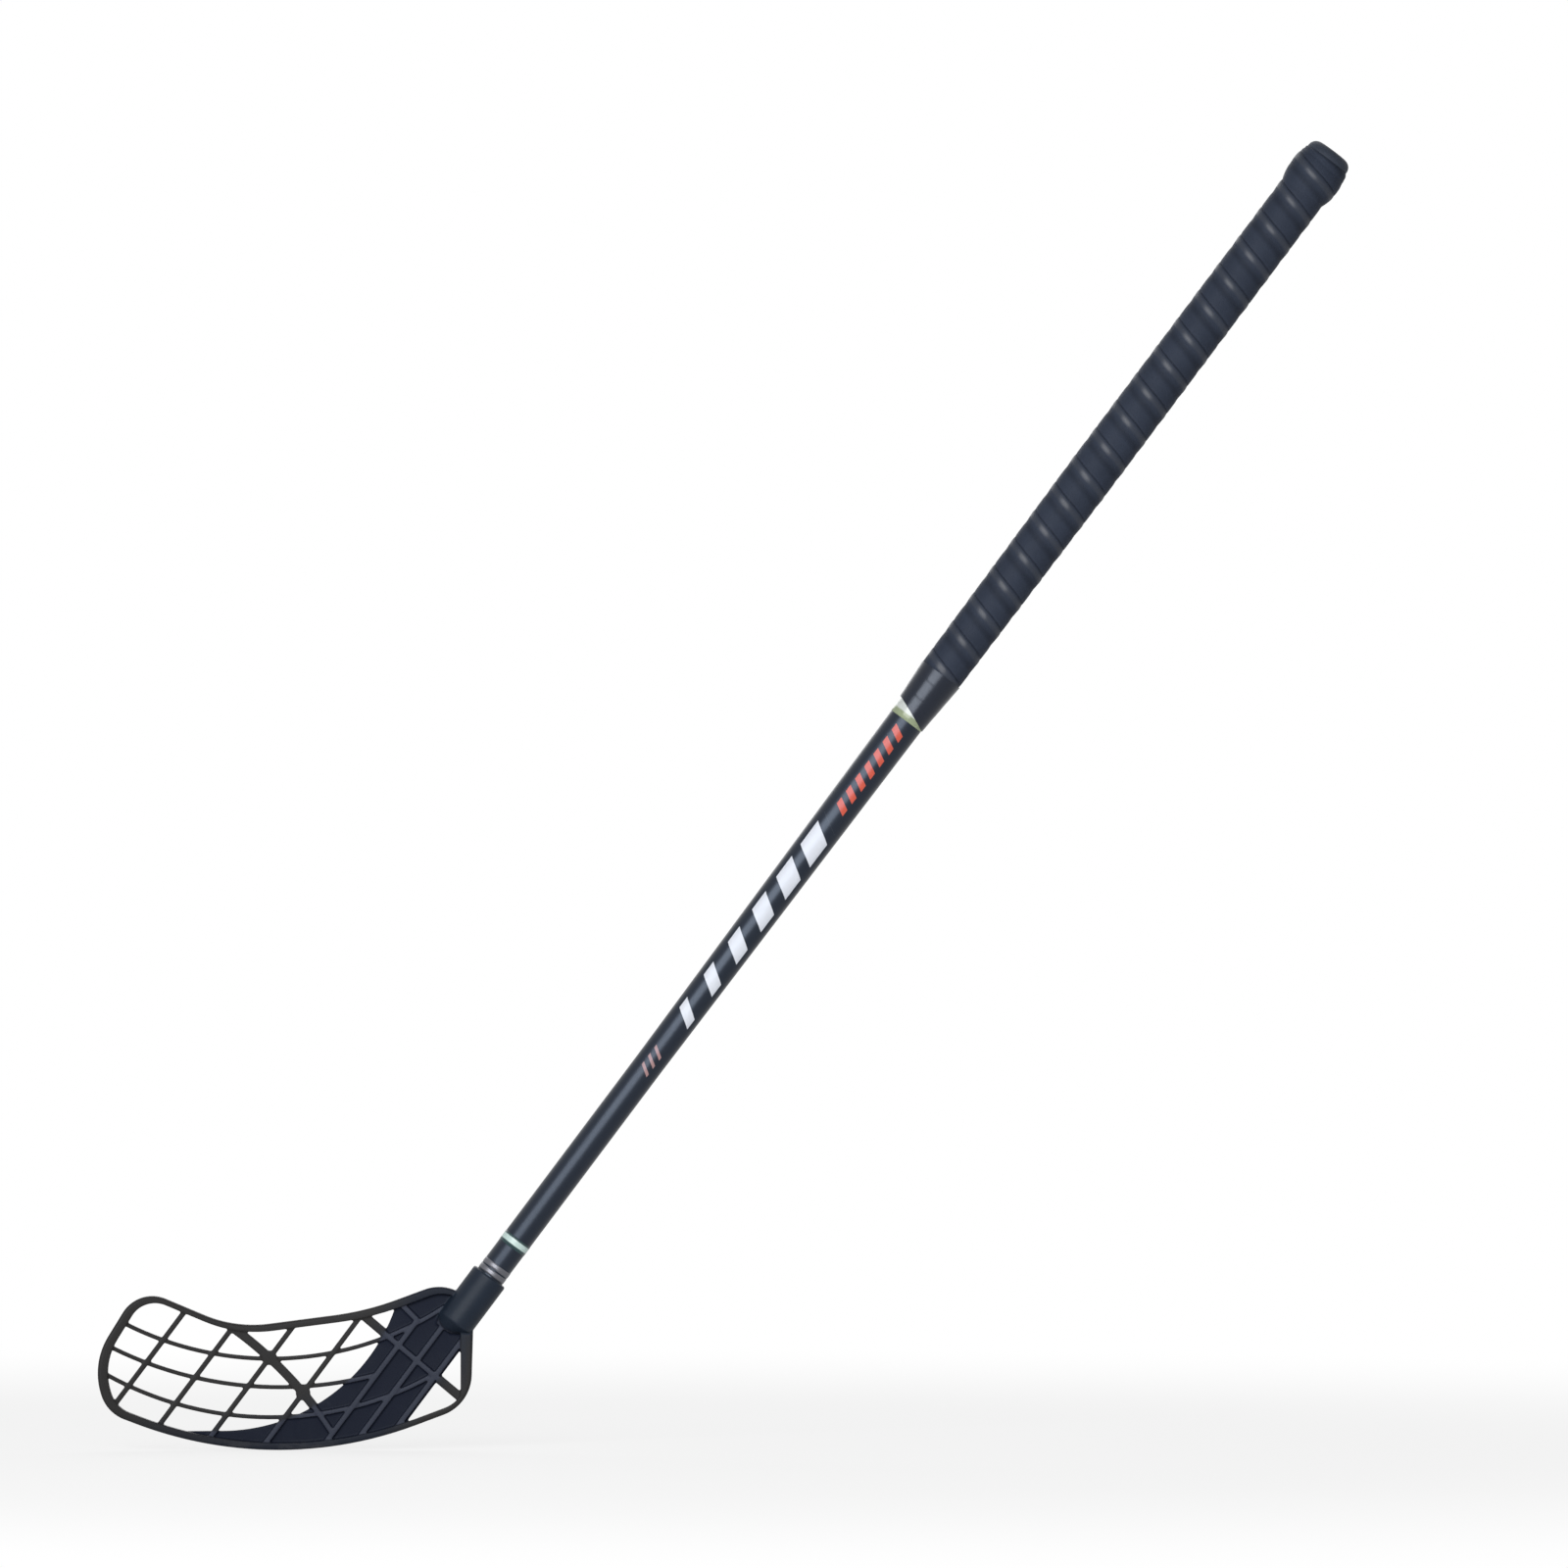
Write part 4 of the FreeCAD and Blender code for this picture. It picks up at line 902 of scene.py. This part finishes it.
class STICK_OT_grip(Build, bpy.types.Operator):
    """Wind the cushioned tape up the shaft as one strip"""
    bl_idname = "stick.grip"
    bl_label = "Build Grip"

    def execute(self, context):
        shaft = context.scene.stick_shaft
        size = context.scene.stick_grip
        turns = (size.top - size.foot - size.tip - size.top_tip + size.pitch - size.seam) / size.pitch
        material = cushion_finish(size)
        values = {"Turns": turns, "Rows": round(turns * POINTS_PER_TURN) + 1}
        for group, labels in ((size, TAPE_INPUTS), (shaft, TUBE_INPUTS)):
            values |= {label: getattr(group, label.lower().replace(" ", "_")) for label in labels}
        mesh = grown_mesh("grip_wrap", wound_tree(material), values)
        add_piece("grip_wrap", mesh, material, "grip_cushion", "grip_tape")
        return {"FINISHED"}


class STICK_OT_finish(Build, bpy.types.Operator):
    """Lay the finishing tape over the grip's lower end, with its slanted edge"""
    bl_idname = "stick.finish"
    bl_label = "Build Finishing Tape"

    def execute(self, context):
        shaft = context.scene.stick_shaft
        size = context.scene.stick_grip
        foot, top = size.foot, size.foot + size.finish_over
        low = foot - size.finish_below
        on_shaft = size.film_room
        on_end = size.fit + size.finish_fit + size.end_thickness
        on_grip = size.fit + size.finish_fit + size.thickness
        step = foot - size.end_gap
        low_outer = shaft_radius(shaft, low) + on_shaft + size.finish_thickness
        top_outer = shaft_radius(shaft, top) + on_grip + size.finish_thickness
        slope = size.finish_slant / (2 * shaft_radius(shaft, low))

        def profile(angle):
            edge = low + size.finish_slant / 2 - low_outer * math.cos(angle) * slope
            under = ((edge, on_shaft), (step, on_shaft), (step, on_end), (foot, on_end),
                     (foot + size.end_length, on_grip), (top, on_grip))
            points = [(shaft_radius(shaft, height) + room, height) for height, room in under]

            # The steps of the laps fade out towards both edges.
            for k in range(FINISH_ROWS + 1):
                height = top + (edge - top) * k / FINISH_ROWS
                share = (height - low) / (top - low)
                radius = low_outer + (top_outer - low_outer) * share
                layer = ((height - low) / size.finish_lap + angle / FULL_TURN) % 1.0
                taper = min(1.0, 4 * min(k, FINISH_ROWS - k) / FINISH_ROWS)
                points.append((radius - size.finish_step * taper * layer, height))
            return points

        mesh = turned_mesh("finishing_wrap", profile, FINISH_SIDES, sharp=40.0)
        add_piece("finishing_wrap", mesh, vinyl_finish(size), "vinyl_tape", "finishing_tape")
        return {"FINISHED"}


class STICK_OT_rings(Build, bpy.types.Operator):
    """Close the four film rings round the shaft"""
    bl_idname = "stick.rings"
    bl_label = "Build Rings"

    def execute(self, context):
        shaft = context.scene.stick_shaft
        size = context.scene.stick_rings
        silver = metal_finish("silver_film", SILVER_TONES, rough=0.36, uneven=0.10, scale=300.0, detail=3.0,
                              stretch=(1, 1, 14))
        upper = film_finish("upper_film", size.upper_low, size.upper_high, size.pale, size.olive,
                            start=0.45, end=1.0)
        lower = film_finish("lower_film", size.lower_low, size.lower_high, size.mint, size.teal,
                            start=0.36, end=0.74)
        rows = [
            ("upper_band", "upper_ring", size.upper_low, size.upper_high, upper, "pale_film"),
            ("lower_band", "lower_ring", size.lower_low, size.lower_high, lower, "pale_film"),
        ]
        for end, low in (("lower", size.collar_low), ("upper", size.collar_next)):
            rows.append(("collar_band_" + end, "collar_ring_" + end, low, low + size.collar_width, silver,
                         "silver_film"))
        for name, node, low, high, material, slot in rows:
            mesh = grown_mesh(name, ring_tree(material, name), {
                "Low": low, "High": high, "Thickness": size.thickness,
                "Low Radius": shaft_radius(shaft, low) + size.fit,
                "High Radius": shaft_radius(shaft, high) + size.fit})
            add_piece(name, mesh, material, slot, node)
        return {"FINISHED"}


class STICK_OT_stage(Build, bpy.types.Operator):
    """Lay the pale floor, hang soft lamps and aim the camera square at the stick's front"""
    bl_idname = "stick.stage"
    bl_label = "Build Stage"

    def execute(self, context):
        scene = context.scene
        size = scene.stick_stage
        scene.view_settings.view_transform = "Standard"
        build_world(scene, size)
        build_floor(size)
        aim = Vector((size.aim_x, 0.0, size.aim_z))
        for name, power, widths, place in (
                ("key", size.key_power, (size.key_width, size.key_depth), size.key_place),
                ("rear", size.rear_power, (size.rear_width, size.rear_width), size.rear_place)):
            lamp = bpy.data.lights.new(name, "AREA")
            lamp.energy = power
            lamp.shape = "RECTANGLE"
            lamp.size, lamp.size_y = widths
            put(name, lamp).matrix_world = lamp_stand(Vector(place), aim)
        lens = bpy.data.cameras.new("front_camera")
        lens.sensor_width = SENSOR_MM
        lens.lens = SENSOR_MM * size.camera_distance / size.frame_width
        lens.clip_end = 100.0
        camera = put("front_camera", lens)
        camera.location = aim - Vector((0, size.camera_distance, 0))
        camera.rotation_euler = (math.pi / 2, 0, 0)
        scene.camera = camera
        return {"FINISHED"}


def lamp_stand(place, aim):
    """A lamp's place, turned to face the aim with its width square to the shaft."""
    back = (place - aim).normalized()
    across = AXIS.cross(back).normalized()
    turned = Matrix((across, back.cross(across), back)).transposed().to_4x4()
    return Matrix.Translation(place) @ turned


def seen_rays(tree):
    """1 for rays that show the background: straight from the camera, mirrored or refracted."""
    seen = Field(tree).add("ShaderNodeLightPath", output="Is Camera Ray")
    rays = seen.socket.node.outputs
    for name in ("Is Glossy Ray", "Is Transmission Ray"):
        seen = seen.math("MAXIMUM", Field(tree, rays[name]))
    return seen


def build_world(scene, size):
    """Soft light from all round, which shows as white."""
    world = bpy.data.worlds.new("studio")
    scene.world = world
    world.use_nodes = True
    tree = world.node_tree
    tree.nodes.clear()
    seen = seen_rays(tree)
    soft = seen.add("ShaderNodeBackground", {"Color": (1, 1, 1, 1), "Strength": size.fill})
    white = seen.add("ShaderNodeBackground", {"Color": (1, 1, 1, 1), "Strength": 1.0})
    mixed = seen.add("ShaderNodeMixShader", {0: seen, 1: soft, 2: white})
    seen.add("ShaderNodeOutputWorld", {"Surface": mixed})


def build_floor(size):
    """A floor that is white to the camera away from the stick and keeps the shadow near it."""
    material = bpy.data.materials.new("floor_paper")
    material.use_nodes = True
    tree = material.node_tree
    tree.nodes.clear()
    seen = seen_rays(tree)
    place = seen.add("ShaderNodeTexCoord", output="Object")
    away = place.add("ShaderNodeVectorMath", {0: place}, output="Value", operation="LENGTH")
    grain = blend(noise(place, 350.0), (0.86, 0.86, 0.86), (0.9, 0.9, 0.9))
    paper = seen.add("ShaderNodeBsdfDiffuse", {"Color": grain})
    white = seen.add("ShaderNodeEmission", {"Color": (1, 1, 1, 1), "Strength": 1.0})
    share = seen * (0.78 + smooth(away, 0.6, 1.7) * 0.22)
    mixed = seen.add("ShaderNodeMixShader", {0: share, 1: paper, 2: white})
    seen.add("ShaderNodeOutputMaterial", {"Surface": mixed})
    work = bmesh.new()
    bmesh.ops.create_grid(work, x_segments=1, y_segments=1, size=size.floor_width / 2)
    mesh = mesh_from(work, "floor")
    mesh.materials.append(material)
    floor = put("floor", mesh)
    floor.location = (size.floor_x, 0.0, -FLOOR_DROP)


class STICK_PT_panel(bpy.types.Panel):
    bl_label = "Floorball Stick"
    bl_idname = "STICK_PT_panel"
    bl_space_type = "VIEW_3D"
    bl_region_type = "UI"
    bl_category = "Stick"

    def draw(self, context):
        for label, name, kind, operators in PANEL_ROWS:
            box = self.layout.box()
            box.label(text=label)
            group = getattr(context.scene, name)
            for key in group.__annotations__:
                box.prop(group, key)
            for operator in operators:
                box.operator(operator.bl_idname)


PANEL_ROWS = [
    ("Shaft", "stick_shaft", StickShaft, [STICK_OT_shaft]),
    ("Blade", "stick_blade", StickBlade, [STICK_OT_blade, STICK_OT_screws]),
    ("Butt", "stick_butt", StickButt, [STICK_OT_butt]),
    ("Grip", "stick_grip", StickGrip, [STICK_OT_grip, STICK_OT_finish]),
    ("Rings", "stick_rings", StickRings, [STICK_OT_rings]),
    ("Stage", "stick_stage", StickStage, [STICK_OT_stage]),
]
GROUPS = {name: kind for label, name, kind, operators in PANEL_ROWS}
OPERATORS = [operator for row in PANEL_ROWS for operator in row[-1]]


def register():
    for made in (*GROUPS.values(), *OPERATORS, STICK_PT_panel):
        bpy.utils.register_class(made)
    for name, group in GROUPS.items():
        setattr(bpy.types.Scene, name, bpy.props.PointerProperty(type=group))


def unregister():
    for name in GROUPS:
        delattr(bpy.types.Scene, name)
    for made in (STICK_PT_panel, *reversed(OPERATORS), *reversed(GROUPS.values())):
        bpy.utils.unregister_class(made)


def main():
    register()
    for build in (bpy.ops.stick.shaft, bpy.ops.stick.blade, bpy.ops.stick.screws, bpy.ops.stick.butt,
                  bpy.ops.stick.grip, bpy.ops.stick.finish, bpy.ops.stick.rings, bpy.ops.stick.stage):
        build()
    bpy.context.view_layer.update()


if __name__ == "__main__":
    main()
